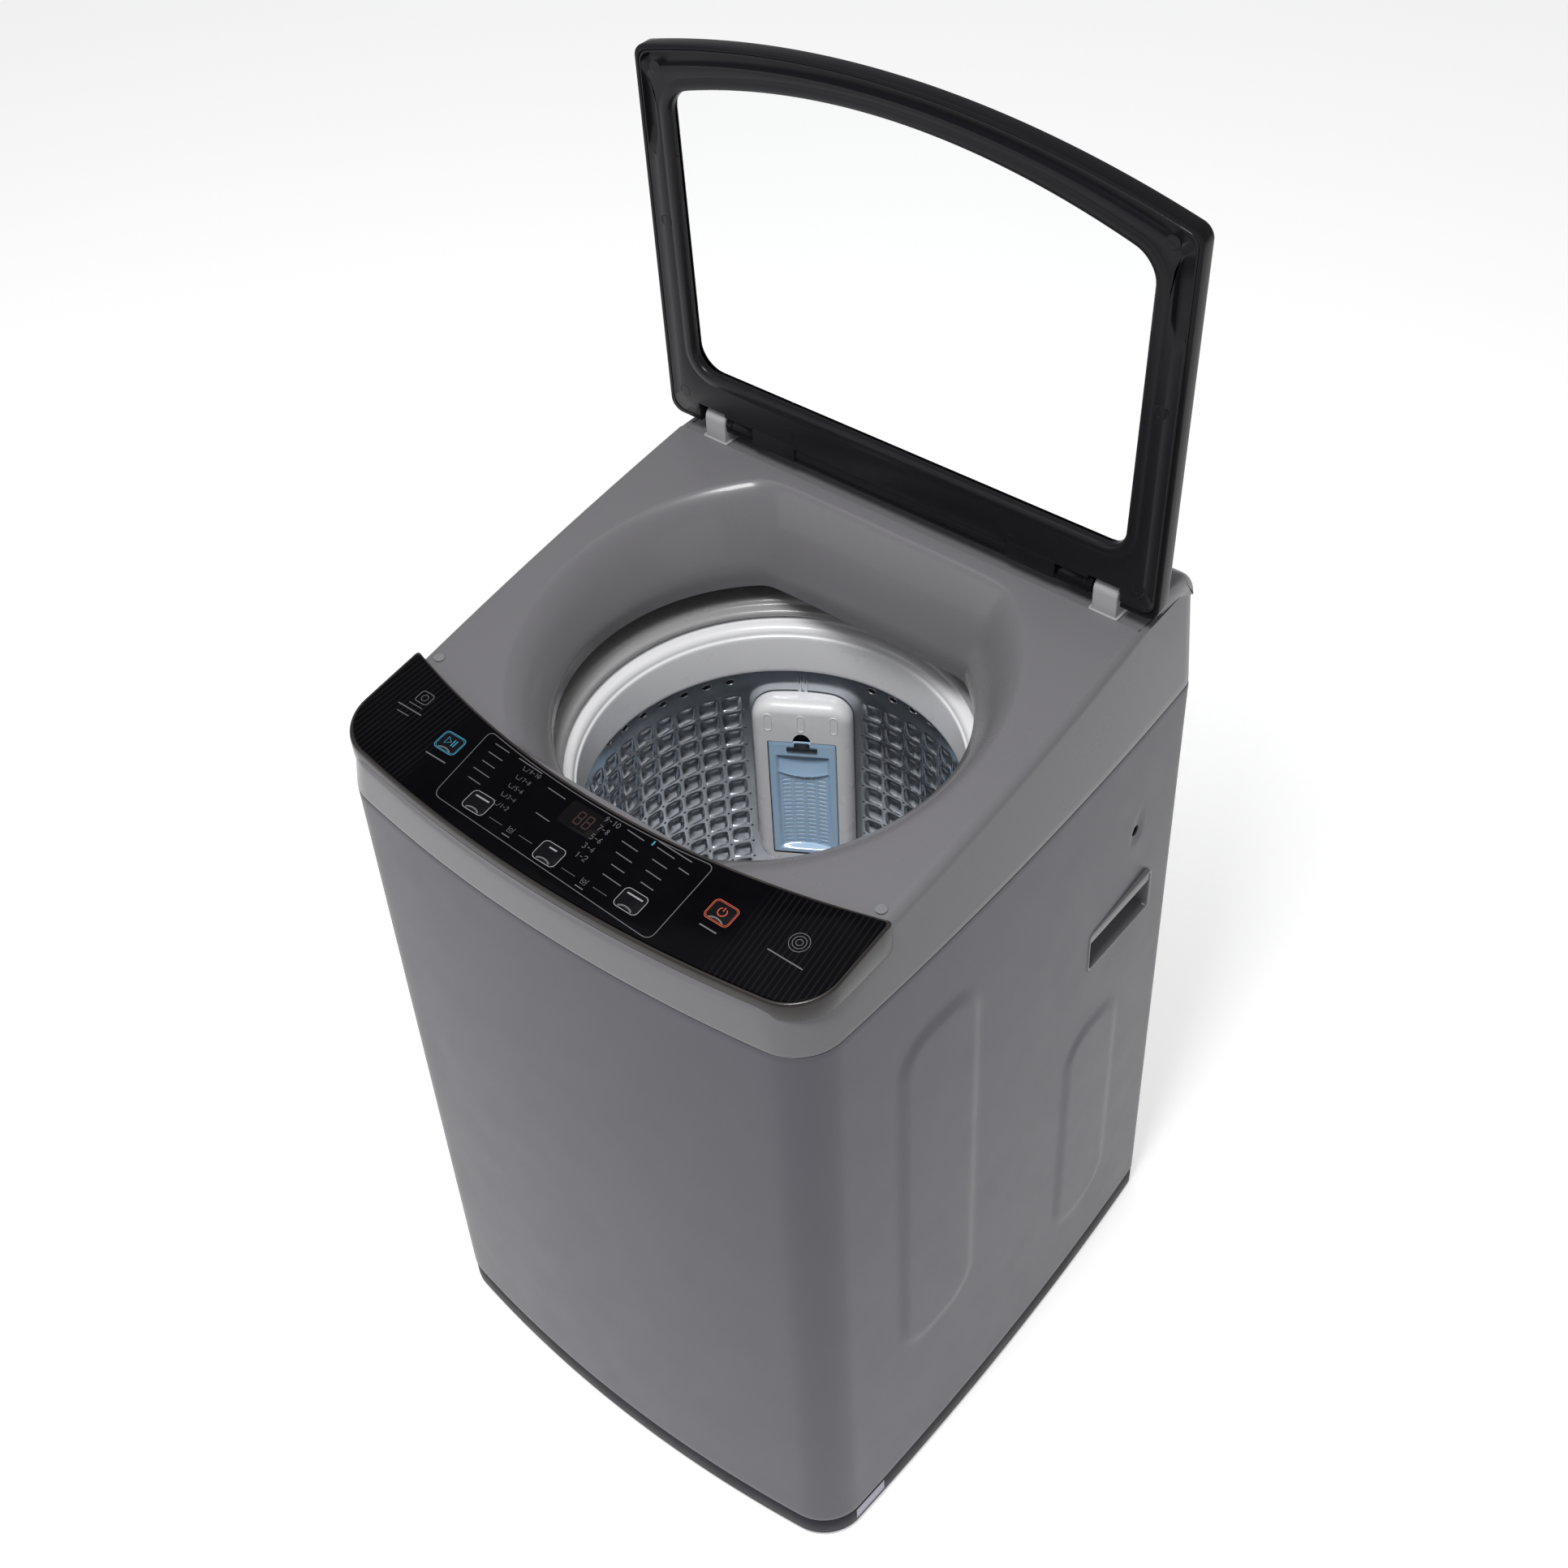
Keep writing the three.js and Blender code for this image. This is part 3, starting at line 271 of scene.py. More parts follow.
def makeGlass():
    # a clear pane with a faint green body and a little dust
    material, tree, shader = newMaterial("lidGlass")
    place = addNode(tree, "ShaderNodeTexCoord").outputs["Object"]
    dust = spread(tree, noiseOf(tree, place, 5.0, 6.0), 0.0, 1.0)
    tree.links.new(tintOf(tree, dust, (0.985, 0.995, 0.99), (1.0, 1.0, 1.0)), shader.inputs["Base Color"])
    smear = spread(tree, noiseOf(tree, place, 4.0, 2.0), 0.0, 0.010)
    tree.links.new(smear, shader.inputs["Roughness"])
    shader.inputs["Transmission Weight"].default_value = 1.0
    shader.inputs["IOR"].default_value = 1.02
    return material


fasciaLines = {"pitch": 1150.0, "bow": 0.10, "start": 0.172, "full": 0.186,
               "dark": (0.0011, 0.0010, 0.0017), "pale": (0.008, 0.0076, 0.0096)}


def makeFasciaFinish(s):
    # gloss black, with fine lines across both ends of the panel
    material, tree, shader = newMaterial("panelBlack")
    maths = mathsIn(tree)
    place = addNode(tree, "ShaderNodeTexCoord").outputs["Object"]
    parts = addNode(tree, "ShaderNodeSeparateXYZ", {0: place}).outputs
    side = maths("ABSOLUTE", parts[0])
    across = maths("ADD", side, maths("MULTIPLY", parts[1], s["bow"]))
    wave = maths("SINE", maths("MULTIPLY", across, s["pitch"]))
    line = maths("SMOOTH_MAX", maths("SUBTRACT", wave, 0.3), 0.0, 0.15)
    span = {"Value": side, 1: s["start"], 2: s["full"], 3: 0.0, 4: 1.0}
    ends = addNode(tree, "ShaderNodeMapRange", span).outputs[0]
    share = maths("MULTIPLY", line, ends)
    dust = spread(tree, noiseOf(tree, place, 30.0, 6.0), 0.0, 0.12)
    tint = tintOf(tree, maths("ADD", share, dust), s["dark"], s["pale"])
    tree.links.new(tint, shader.inputs["Base Color"])
    tree.links.new(maths("MULTIPLY_ADD", share, 0.25, 0.13), shader.inputs["Roughness"])
    bump = addNode(tree, "ShaderNodeBump", {"Strength": 0.25, "Distance": 0.0001, "Height": share})
    tree.links.new(bump.outputs[0], shader.inputs["Normal"])
    shader.inputs["Specular IOR Level"].default_value = 0.035
    return material


finish = {name: makeFinish(name, *values) for name, values in finishes.items()}
finish["lidGlass"] = makeGlass()
finish["panelBlack"] = makeFasciaFinish(fasciaLines)
floorHalf = 9.0
floorValues = ((0.92, 0.92, 0.93), 0.7, 90.0, 0.02, 0.01,
               {"broad": 0.6, "glow": (1.0, 1.0, 1.0), "glowPower": 0.46})


def makeFloor(half):
    mesh = bpy.data.meshes.new("floor")
    ring = [(-half, -half, 0.0), (half, -half, 0.0), (half, half, 0.0), (-half, half, 0.0)]
    mesh.from_pydata(ring, [], [(0, 1, 2, 3)])
    floor = bpy.data.objects.new("floor", mesh)
    mesh.materials.append(makeFinish("paleFloor", *floorValues))
    scene.collection.objects.link(floor)


makeFloor(floorHalf)

weldDistance = 1e-6  # in metres


def addPiece(name, points, faces, material=None, crease=34.0):
    # points come in millimetres; the piece itself is in metres with its place in its mesh
    mesh = bpy.data.meshes.new(name)
    mesh.from_pydata([(x * mm, y * mm, z * mm) for x, y, z in points], [], faces)
    piece = bpy.data.objects.new(name, mesh)
    scene.collection.objects.link(piece)
    mesh.materials.append(material or finish["paintedHoleShade"])
    work = bmesh.new()
    work.from_mesh(mesh)
    bmesh.ops.remove_doubles(work, verts=work.verts, dist=weldDistance)
    bmesh.ops.recalc_face_normals(work, faces=work.faces)
    work.to_mesh(mesh)
    work.free()
    shadeByAngle(mesh, crease)
    return piece


def shadeByAngle(mesh, crease):
    mesh.shade_smooth()
    mesh.set_sharp_from_angle(angle=math.radians(crease))


def bakeModifiers(piece, crease=34.0):
    graph = bpy.context.evaluated_depsgraph_get()
    mesh = bpy.data.meshes.new_from_object(piece.evaluated_get(graph))
    old = piece.data
    piece.modifiers.clear()
    piece.data = mesh
    bpy.data.meshes.remove(old)
    shadeByAngle(mesh, crease)
    return piece


def combine(piece, others, operation="DIFFERENCE", crease=34.0):
    for other in others:
        modifier = piece.modifiers.new("combine", "BOOLEAN")
        modifier.operation = operation
        modifier.solver = "MANIFOLD"
        modifier.object = other
    bakeModifiers(piece, crease)
    for other in others:
        bpy.data.objects.remove(other)
    return piece


def join(name, pieces):
    # one mesh from several pieces that ride together
    bpy.ops.object.select_all(action="DESELECT")
    for piece in pieces:
        piece.select_set(True)
    bpy.context.view_layer.objects.active = pieces[0]
    bpy.ops.object.join()
    pieces[0].name = name
    pieces[0].data.name = name
    return pieces[0]


def settle(piece, body, slotName, *nodes):
    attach(piece, body)
    if nodes:
        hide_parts(*nodes)
    return piece


def turnsOf(count):
    return [2 * math.pi * i / count for i in range(count)]


def loftFaces(rings, count, loop=False, caps=True):
    faces = []
    for row in range(rings if loop else rings - 1):
        low = row * count
        high = ((row + 1) % rings) * count
        faces += [(low + i, low + (i + 1) % count, high + (i + 1) % count, high + i) for i in range(count)]
    if caps and not loop:
        faces.append(tuple(reversed(range(count))))
        faces.append(tuple(range((rings - 1) * count, rings * count)))
    return faces


def addLoft(name, rings, material=None, crease=34.0, loop=False, caps=True):
    points = [point for ring in rings for point in ring]
    return addPiece(name, points, loftFaces(len(rings), len(rings[0]), loop, caps), material, crease)


def turnedRings(profile, sides, x=0.0, y=drumY):
    return [[(x + r * math.cos(a), y + r * math.sin(a), z) for a in turnsOf(sides)] for r, z in profile]


def addTurned(name, profile, material, sides=96, x=0.0, y=drumY, crease=34.0, loop=True):
    return addLoft(name, turnedRings(profile, sides, x, y), material, crease, loop, not loop)


def rounded(corners, radius, steps=4):
    # a closed profile whose corners are each rounded by up to radius
    result = []
    count = len(corners)
    for i in range(count):
        here = Vector(corners[i])
        before = Vector(corners[i - 1]) - here
        after = Vector(corners[(i + 1) % count]) - here
        pull = min(radius, before.length * 0.45, after.length * 0.45)
        start = here + before.normalized() * pull
        end = here + after.normalized() * pull
        for k in range(steps + 1):
            t = k / steps
            result.append(tuple((1 - t) ** 2 * start + 2 * t * (1 - t) * here + t * t * end))
    return result


def traceOutline(start, moves):
    # moves are ("to", point, steps), ("bend", control, point, steps) and ("round", corner, point, steps)
    points = [Vector(start)]
    for kind, *rest in moves:
        steps = rest[-1]
        end = Vector(rest[-2])
        here = points[-1]
        for k in range(1, steps + 1):
            t = k / steps
            if kind == "to":
                points.append(here.lerp(end, t))
            elif kind == "bend":
                control = Vector(rest[0])
                points.append((1 - t) ** 2 * here + 2 * t * (1 - t) * control + t * t * end)
            else:
                first = here.lerp(Vector(rest[0]), 0.5523)
                second = end.lerp(Vector(rest[0]), 0.5523)
                points.append((1 - t) ** 3 * here + 3 * t * (1 - t) ** 2 * first
                              + 3 * t * t * (1 - t) * second + t ** 3 * end)
    return [(p.x, p.y) for p in points[:-1]]


def roundedRectangle(x0, x1, y0, y1, radius, steps=6):
    return traceOutline((x0 + radius, y0), [
        ("to", (x1 - radius, y0), 1), ("round", (x1, y0), (x1, y0 + radius), steps),
        ("to", (x1, y1 - radius), 1), ("round", (x1, y1), (x1 - radius, y1), steps),
        ("to", (x0 + radius, y1), 1), ("round", (x0, y1), (x0, y1 - radius), steps),
        ("to", (x0, y0 + radius), 1), ("round", (x0, y0), (x0 + radius, y0), steps),
    ])


def centredRectangle(cx, cy, w, h, radius, steps=6):
    return roundedRectangle(cx - w / 2, cx + w / 2, cy - h / 2, cy + h / 2, radius, steps)


def onAxis(outline, level, axis):
    # lays a flat outline across one axis at the given level
    if axis == "x":
        return [(level, u, v) for u, v in outline]
    if axis == "y":
        return [(u, level, v) for u, v in outline]
    return [(u, v, level) for u, v in outline]


def slab(name, outline, low, high, material=None, axis="z", edge=0.0, steps=3, crease=34.0):
    # an extruded outline; edge rounds both of its rims
    middle = Vector((sum(p[0] for p in outline), sum(p[1] for p in outline))) / len(outline)
    bends = [math.pi / 2 * k / steps for k in range(steps + 1)] if edge else [math.pi / 2]
    spans = [(low + edge * (1 - math.cos(a)), edge * (1 - math.sin(a))) for a in bends]
    spans += [(low + high - level, inset) for level, inset in reversed(spans)]
    rings = []
    for level, inset in spans:
        ring = []
        for i, p in enumerate(outline):
            along = (Vector(outline[(i + 1) % len(outline)]) - Vector(outline[i - 1])).normalized()
            inward = Vector((-along.y, along.x))
            if inward.dot(middle - Vector(p)) < 0:
                inward = -inward
            ring.append(tuple(Vector(p) + inward * inset))
        rings.append(onAxis(ring, level, axis))
    return addLoft(name, rings, material, crease)


def block(x0, x1, y0, y1, z0, z1, material=None):
    return slab("block", [(x0, y0), (x1, y0), (x1, y1), (x0, y1)], z0, z1, material)


def rodRings(stations, count=20):
    # circles about the points of a path: stations are (point, radius)
    rings = []
    side = None
    for i, (point, radius) in enumerate(stations):
        a = Vector(stations[max(0, i - 1)][0])
        b = Vector(stations[min(len(stations) - 1, i + 1)][0])
        along = (b - a).normalized()
        if side is None:
            side = along.orthogonal().normalized()
        side = (side - along * side.dot(along)).normalized()
        other = along.cross(side)
        rings.append([tuple(Vector(point) + side * (radius * math.cos(t)) + other * (radius * math.sin(t)))
                      for t in turnsOf(count)])
    return rings


def rod(name, start, end, radius, material=None, count=20, edge=0.0):
    a, b = Vector(start), Vector(end)
    along = (b - a).normalized() * edge
    tip = [(0.0, 1.0), (0.4, 0.3), (1.0, 0.0)] if edge else [(0.0, 0.0)]
    stations = [(a + along * t, radius - edge * inset) for t, inset in tip]
    stations += [(b - along * t, radius - edge * inset) for t, inset in reversed(tip)]
    return addLoft(name, rodRings(stations, count), material)


def borderOf(columns, rows):
    # the numbers of the points round the edge of a grid
    across = columns + 1
    edge = list(range(across)) + [j * across + columns for j in range(1, rows + 1)]
    edge += [rows * across + i for i in range(columns - 1, -1, -1)]
    return edge + [j * across for j in range(rows - 1, 0, -1)]


def gather(name, parts, material, crease=34.0):
    # one piece from several lists of points and faces
    points, faces = [], []
    for somePoints, someFaces in parts:
        offset = len(points)
        points += somePoints
        faces += [tuple(offset + i for i in face) for face in someFaces]
    return addPiece(name, points, faces, material, crease)


def ease(t):
    t = min(1.0, max(0.0, t))
    return t * t * (3 - 2 * t)


def mix(a, b, t):
    return a + (b - a) * t


print("stage 3: cabinet and base")

cabinet = {
    "bottom": 34.0,
    "frontCorner": 42.0,
    "rearCorner": 14.0,
    "sheet": 2.0,
    "rows": 118,
    # a rolled bottom edge, and a top edge turned in under the cover: height and how far in
    "bottomRoll": ((0.0, 1.0), (0.6, 0.3), (1.6, 0.0)),
    "topRoll": ((-0.5, 0.35), (0.0, 1.2), (0.0, 12.0), (-3.0, 12.0), (-3.0, 5.0)),
    "innerLevels": (seamZ - 8, seamZ - 200, 400.0, 200.0, 38.0, 34.0),
    "handle": {"y": 190.0, "z": 577.0, "length": 114.0, "height": 56.0, "corner": 6.0},
    "hole": {"y": 212.0, "z": 684.0, "radius": 6.0},
    "dent": {"depth": 1.6, "edge": 4.5, "below": 4.0, "length": 30.0, "lean": 4.0, "wide": 11.0, "narrow": 3.5},
    "backHole": (-190.0, 190.0, 280.0, 320.0, 110.0, 650.0),
    "cordHole": (120.0, 700.0, 9.4),
    # pressed pads on each side wall: a minus depth is a hollow and a plus depth stands out
    "pads": [
        {"y": -112.0, "half": 60.0, "low": 235.0, "high": 732.0, "corner": 46.0, "edge": 13.0, "depth": -2.6},
        {"y": 155.0, "half": 53.0, "low": 124.0, "high": 462.0, "corner": 44.0, "edge": 11.0, "depth": 2.2},
    ],
    "dimple": {"x": -42.0, "z": 600.0, "radius": 7.0, "depth": -0.45},
}


def planOutline(inset=0.0):
    # the cabinet seen from above, drawn in by inset
    w = halfWidth - inset
    rear = rearY - inset
    r = cabinet["frontCorner"] - inset * 0.6
    q = max(2.0, cabinet["rearCorner"] - inset)
    start = w - r
    slope = 2 * frontBow * start / w ** 2
    startY = frontY + inset - frontBow * (1 - (start / w) ** 2)
    cornerY = startY + slope * r
    sideStart = cornerY + r
    middle = (sideStart + rear - q) / 2
    return traceOutline((-start, startY), [
        ("bend", (0.0, startY - slope * start), (start, startY), 48),
        ("round", (w, cornerY), (w, sideStart), 12),
        ("bend", (w + 2 * sideBulge, middle), (w, rear - q), 96),
        ("round", (w, rear), (w - q, rear), 6),
        ("to", (-w + q, rear), 16),
        ("round", (-w, rear), (-w, rear - q), 6),
        ("bend", (-w - 2 * sideBulge, middle), (-w, sideStart), 96),
        ("round", (-w, cornerY), (-start, startY), 12),
    ])


def padHeight(y, z, pad):
    # distance inside a rounded rectangle, turned into a soft-edged step
    u = abs(y - pad["y"]) - (pad["half"] - pad["corner"])
    v = abs(z - (pad["low"] + pad["high"]) / 2) - ((pad["high"] - pad["low"]) / 2 - pad["corner"])
    outside = math.hypot(max(u, 0.0), max(v, 0.0)) + min(max(u, v), 0.0)
    return pad["depth"] * ease((pad["corner"] - outside) / pad["edge"])


def pressedWall(x, y, z):
    if abs(x) > halfWidth - 2:
        x += math.copysign(sum(padHeight(y, z, pad) for pad in cabinet["pads"]), x)
    d = cabinet["dimple"]
    if y < frontY:
        y -= d["depth"] * ease(1.0 - math.hypot(x - d["x"], z - d["z"]) / d["radius"])
    return x, y, z


def makeShell(s):
    levels = [(s["bottom"] + z, inset) for z, inset in s["bottomRoll"]]
    first = levels[-1][0]
    span = seamZ - 1.4 - first
    levels += [(first + span * k / s["rows"], 0.0) for k in range(1, s["rows"] + 1)]
    levels += [(seamZ + z, inset) for z, inset in s["topRoll"][:2]]
    outer, inner = planOutline(0.0), planOutline(s["sheet"])
    rings = [[pressedWall(x, y, z) for x, y in (planOutline(inset) if inset else outer)] for z, inset in levels]
    rings += [onAxis(planOutline(inset), seamZ + z, "z") for z, inset in s["topRoll"][2:]]
    rings += [onAxis(inner, z, "z") for z in s["innerLevels"]]
    shell = addLoft("cabinet_wall", rings, finish["silverPaint"], 30.0, loop=True)
    h, hole, (cordX, cordZ, cordRadius) = s["handle"], s["hole"], s["cordHole"]
    grip = centredRectangle(h["y"], h["z"], h["length"], h["height"], h["corner"])
    cutters = [slab("cutter", grip, low, low + 50, axis="x") for low in (-305, 255)]
    cutters += [rod("cutter", (255, hole["y"], hole["z"]), (305, hole["y"], hole["z"]), hole["radius"], count=28),
                rod("cutter", (cordX, 290, cordZ), (cordX, 310, cordZ), cordRadius, count=24)]
    combine(shell, cutters + [block(*s["backHole"])], crease=30.0)
    # drop-shaped dent round the hole in the right wall
    d = s["dent"]
    for vertex in shell.data.vertices:
        x, y, z = (c / mm for c in vertex.co)
        if x > halfWidth + 1:
            low = hole["z"] - d["below"]
            along = min(1.0, max(0.0, (z - low) / d["length"]))
            away = math.hypot(y - hole["y"] - along * d["lean"], z - low - along * d["length"])
            width = mix(d["wide"], d["narrow"], along)
            vertex.co.x -= d["depth"] * ease((width - away) / d["edge"]) * mm
    settle(shell, "cabinet", "silver_paint", "cabinet_shell")


backCover = {"x": 204.0, "low": 96.0, "high": 664.0, "columns": 60, "rows": 84, "back": 305.2, "front": 303.5,
             "ribPitch": 70.0, "ribDepth": 0.9, "step": 0.6, "border": 18.0}


def makeBackCover(s):
    # ribbed cover plate over the service opening
    points, faces = [], []
    across = s["columns"] + 1
    for j in range(s["rows"] + 1):
        for i in range(across):
            x = mix(-s["x"], s["x"], i / s["columns"])
            z = mix(s["low"], s["high"], j / s["rows"])
            step = ease((min(s["x"] - abs(x), z - s["low"], s["high"] - z) - s["border"]) / 8)
            rib = 0.5 + 0.5 * math.cos(2 * math.pi * (z - s["low"]) / s["ribPitch"])
            depth = s["ribDepth"] * step * ease(rib * 1.6 - 0.3)
            points.append((x, s["back"] - s["step"] * (1 - step) - depth, z))
    for a in (j * across + i for j in range(s["rows"]) for i in range(s["columns"])):
        faces.append((a + 1, a, a + across, a + across + 1))
    offset = len(points)
    edge = borderOf(s["columns"], s["rows"])
    points += [(points[i][0], s["front"], points[i][2]) for i in edge]
    for k, a in enumerate(edge):
        after = (k + 1) % len(edge)
        faces.append((a, edge[after], offset + after, offset + k))
    faces.append(tuple(offset + k for k in reversed(range(len(edge)))))
    cover = addPiece("service_cover", points, faces, finish["silverPaint"], 40.0)
    settle(cover, "cabinet", "silver_paint", "back_cover")


backScrews = {"face": 303.9, "radius": 4.0, "height": 1.25, "sides": 12,
              # a low domed head: share of the radius and share of the height
              "profile": ((0.0, 0.55), (0.35, 0.6), (0.42, 0.95), (0.75, 0.75), (1.0, 0.0)), "recess": 0.75,
              "spots": [(x, z) for z in (104.0, 242.0, 380.0, 518.0, 656.0) for x in (-196.0, 196.0)]
              + [(x, z) for z in (104.0, 656.0) for x in (-66.0, 66.0)]}


def screwHead(x, z, s):
    # a domed head with a cross recess, facing +Y
    count = s["sides"]
    points = [(x, s["face"] + s["height"] * s["profile"][0][1], z)]
    for share, rise in s["profile"][1:]:
        for k, a in enumerate(turnsOf(count)):
            dent = s["recess"] if share < 0.5 and k % 3 == 0 else 1.0
            r = share * s["radius"]
            points.append((x + r * math.cos(a), s["face"] + s["height"] * rise * dent, z + r * math.sin(a)))
    last = 1 + (len(s["profile"]) - 2) * count
    faces = [(0, 1 + (k + 1) % count, 1 + k) for k in range(count)]
    for base in range(1, last, count):
        faces += [(base + k, base + (k + 1) % count, base + count + (k + 1) % count, base + count + k)
                  for k in range(count)]
    faces.append(tuple(last + k for k in range(count)))
    return points, faces


def makeBackScrews(s):
    screws = gather("service_screws", [screwHead(x, z, s) for x, z in s["spots"]], finish["zincSteel"])
    settle(screws, "cabinet", "zinc_steel")


handles = {
    "gap": 0.4,
    # the frame round the mouth, then the pocket behind it: how far in, and the distance from the middle
    "pocket": ((0.0, 258.0), (0.0, 286.6), (0.5, 287.4), (1.4, 287.6), (2.6, 287.2), (3.2, 285.6), (3.6, 262.5),
               (6.0, 260.4)),
    "bar": [(274.5, 590.0), (277.0, 587.0), (283.5, 586.0), (286.4, 589.0), (286.6, 601.6), (274.5, 601.6)],
    "barEnds": 2.8,
    "web": [(261.0, 560.0), (276.0, 590.0), (276.0, 600.0), (261.0, 600.0)],
    "webSpan": (226.0, 229.0),
}


def makeHandles(s, h):
    # a finger pocket with a frame round its mouth and a rounded grip bar across its top
    wide, tall = h["length"] - 2 * s["gap"], h["height"] - 2 * s["gap"]
    barSpan = (h["y"] - wide / 2 + s["barEnds"], h["y"] + wide / 2 - s["barEnds"])
    for side, word in hands:
        rings = [onAxis(centredRectangle(h["y"], h["z"], wide - 2 * inset, tall - 2 * inset,
                                         max(1.0, h["corner"] - inset * 0.4)), side * x, "x")
                 for inset, x in s["pocket"]]
        parts = [addLoft("pocket", rings, finish["coverPlastic"], 50.0)]
        for outline, span in ((rounded(s["bar"], 2.5), barSpan), (s["web"], s["webSpan"])):
            parts.append(addLoft("bar", [[(side * x, y, z) for x, z in outline] for y in span],
                                 finish["coverPlastic"], 30.0))
        settle(join(f"carry_handle_{word}", parts), "cabinet", "grey_plastic", f"handle_pocket_{word}")


base = {
    "skirt": ((8.0, 4.6), (3.2, 4.0), (1.6, 4.6), (0.8, 6.2), (0.6, 32.4), (1.4, 33.6), (4.6, 33.7), (4.8, 56.0),
              (6.0, 58.0), (9.0, 58.0), (9.2, 15.0), (33.0, 14.4), (34.0, 13.0), (33.4, 10.0), (9.0, 10.0)),
    "cup": [(9.0, 8.4), (30.0, 8.4), (31.0, 12.0), (29.0, 56.0), (7.2, 57.0), (7.2, 12.0)],
    "footX": 236.0,
    "footY": 238.0,
}


def makeBase(s):
    # plinth under the cabinet, with a rounded skirt and a cup round each levelling foot
    rings = [onAxis(planOutline(inset), z, "z") for inset, z in s["skirt"]]
    parts = [addLoft("skirt", rings, finish["charcoalPlastic"], 40.0, loop=True)]
    for name, sx, sy in corners:
        parts.append(addTurned("cup", rounded(s["cup"], 2.0), finish["charcoalPlastic"], 40,
                               sx * s["footX"], sy * s["footY"]))
    settle(join("base_skirt", parts), "cabinet", "charcoal_plastic", "base_frame")


foot = {
    "pad": ((16.5, 0.0), (19.0, 0.2), (20.0, 1.4), (20.0, 3.6), (18.6, 5.2), (9.0, 5.5)),
    "ribs": 18,
    "ribDepth": 0.5,
    "flange": ((10.5, 5.3), (11.0, 5.8), (11.0, 7.6), (10.0, 8.2)),
    "thread": [(5.9 if k % 2 else 5.2, 8.0 + k * 0.9) for k in range(60)],
}


def makeFeet(s):
    # ribbed rubber pad, hexagon flange and threaded stud
    for name, sx, sy in corners:
        x, y = sx * base["footX"], sy * base["footY"]
        pad = []
        for r, z in s["pad"]:
            rib = s["ribDepth"] if 1.0 < z < 4.0 else 0.0
            pad.append([])
            for a in turnsOf(72):
                away = r - s["ribDepth"] + rib * math.cos(a * s["ribs"])
                pad[-1].append((x + away * math.cos(a), y + away * math.sin(a), z))
        parts = [addLoft("pad", pad, finish["blackRubber"], 40.0),
                 addLoft("nut", turnedRings(s["flange"], 6, x, y), finish["blackRubber"], 20.0),
                 addTurned("stud", s["thread"], finish["zincSteel"], 20, x, y, 20.0, loop=False)]
        settle(join(f"levelling_foot_{name}", parts), f"foot_{name}", "black_rubber", f"foot_{name}")


makeShell(cabinet)
makeBackCover(backCover)
makeBackScrews(backScrews)
makeHandles(handles, cabinet["handle"])
makeBase(base)
makeFeet(foot)


print("stage 4: top cover")

cover = {
    "taper": 0.965,
    "skin": 3.0,
    "openingRadius": 195.0,
    "openingRear": 155.0,
    "openingZ": 846.0,
    "skirtZ": 834.0,
    "creaseRadius": 238.0,
    "creaseRear": 192.0,
    "creaseFront": -198.0,
    "around": 420,
    "rim": 11.0,
    "edge": 9.0,
    "lap": 0.3,
    # the funnel from its rounded lip to the crease at its top: share of the way out and of the way up
    "bowl": ((0.0, 0.01), (0.012, 0.07), (0.035, 0.13), (0.08, 0.20), (0.17, 0.325), (0.28, 0.465), (0.40, 0.60),
             (0.52, 0.715), (0.64, 0.815), (0.75, 0.89), (0.84, 0.942), (0.90, 0.969), (0.945, 0.985),
             (0.975, 0.993), (1.0, 0.997), (1.03, 1.0)),
    "bowlBack": ((0.86, 0.8), (0.4, 0.5), (0.08, 0.2), (0.0, 0.05)),
    "well": {"front": 205.0, "floor": 932.0, "half": 267.5, "lap": 4.0, "skin": 3.0},
    "hoseHole": (-190.0, 868.0, 15.0),
}


def funnelPoint(angle, share, grow=0.0):
    radius = mix(cover["openingRadius"], cover["creaseRadius"], share) + grow
    rear = mix(cover["openingRear"], cover["creaseRear"], share) + grow
    front = -mix(cover["openingRadius"], -cover["creaseFront"], share) - grow
    x, y = radius * math.cos(angle), radius * math.sin(angle)
    # a soft limit, so that the corners of the D are rounded
    limit = rear if y > 0 else -front
    blend = 10.0 + 8.0 * share
    over = abs(y) - (limit - blend)
    if over > 0:
        y = math.copysign(limit - blend + blend * math.tanh(over / blend), y)
    return x, y


def rayHit(outline, x, y):
    # where the ray through (x, y) from the middle meets an outline
    angle = math.atan2(y, x)
    dx, dy = math.cos(angle), math.sin(angle)
    best = None
    for i, (ax, ay) in enumerate(outline):
        bx, by = outline[(i + 1) % len(outline)]
        ex, ey = bx - ax, by - ay
        bottom = dx * ey - dy * ex
        if abs(bottom) < 1e-9:
            continue
        t = (ax * ey - ay * ex) / bottom
        u = (ax * dy - ay * dx) / bottom
        if t > 0 and -1e-6 <= u <= 1 + 1e-6 and (best is None or t < best):
            best = t
    return best * dx, best * dy


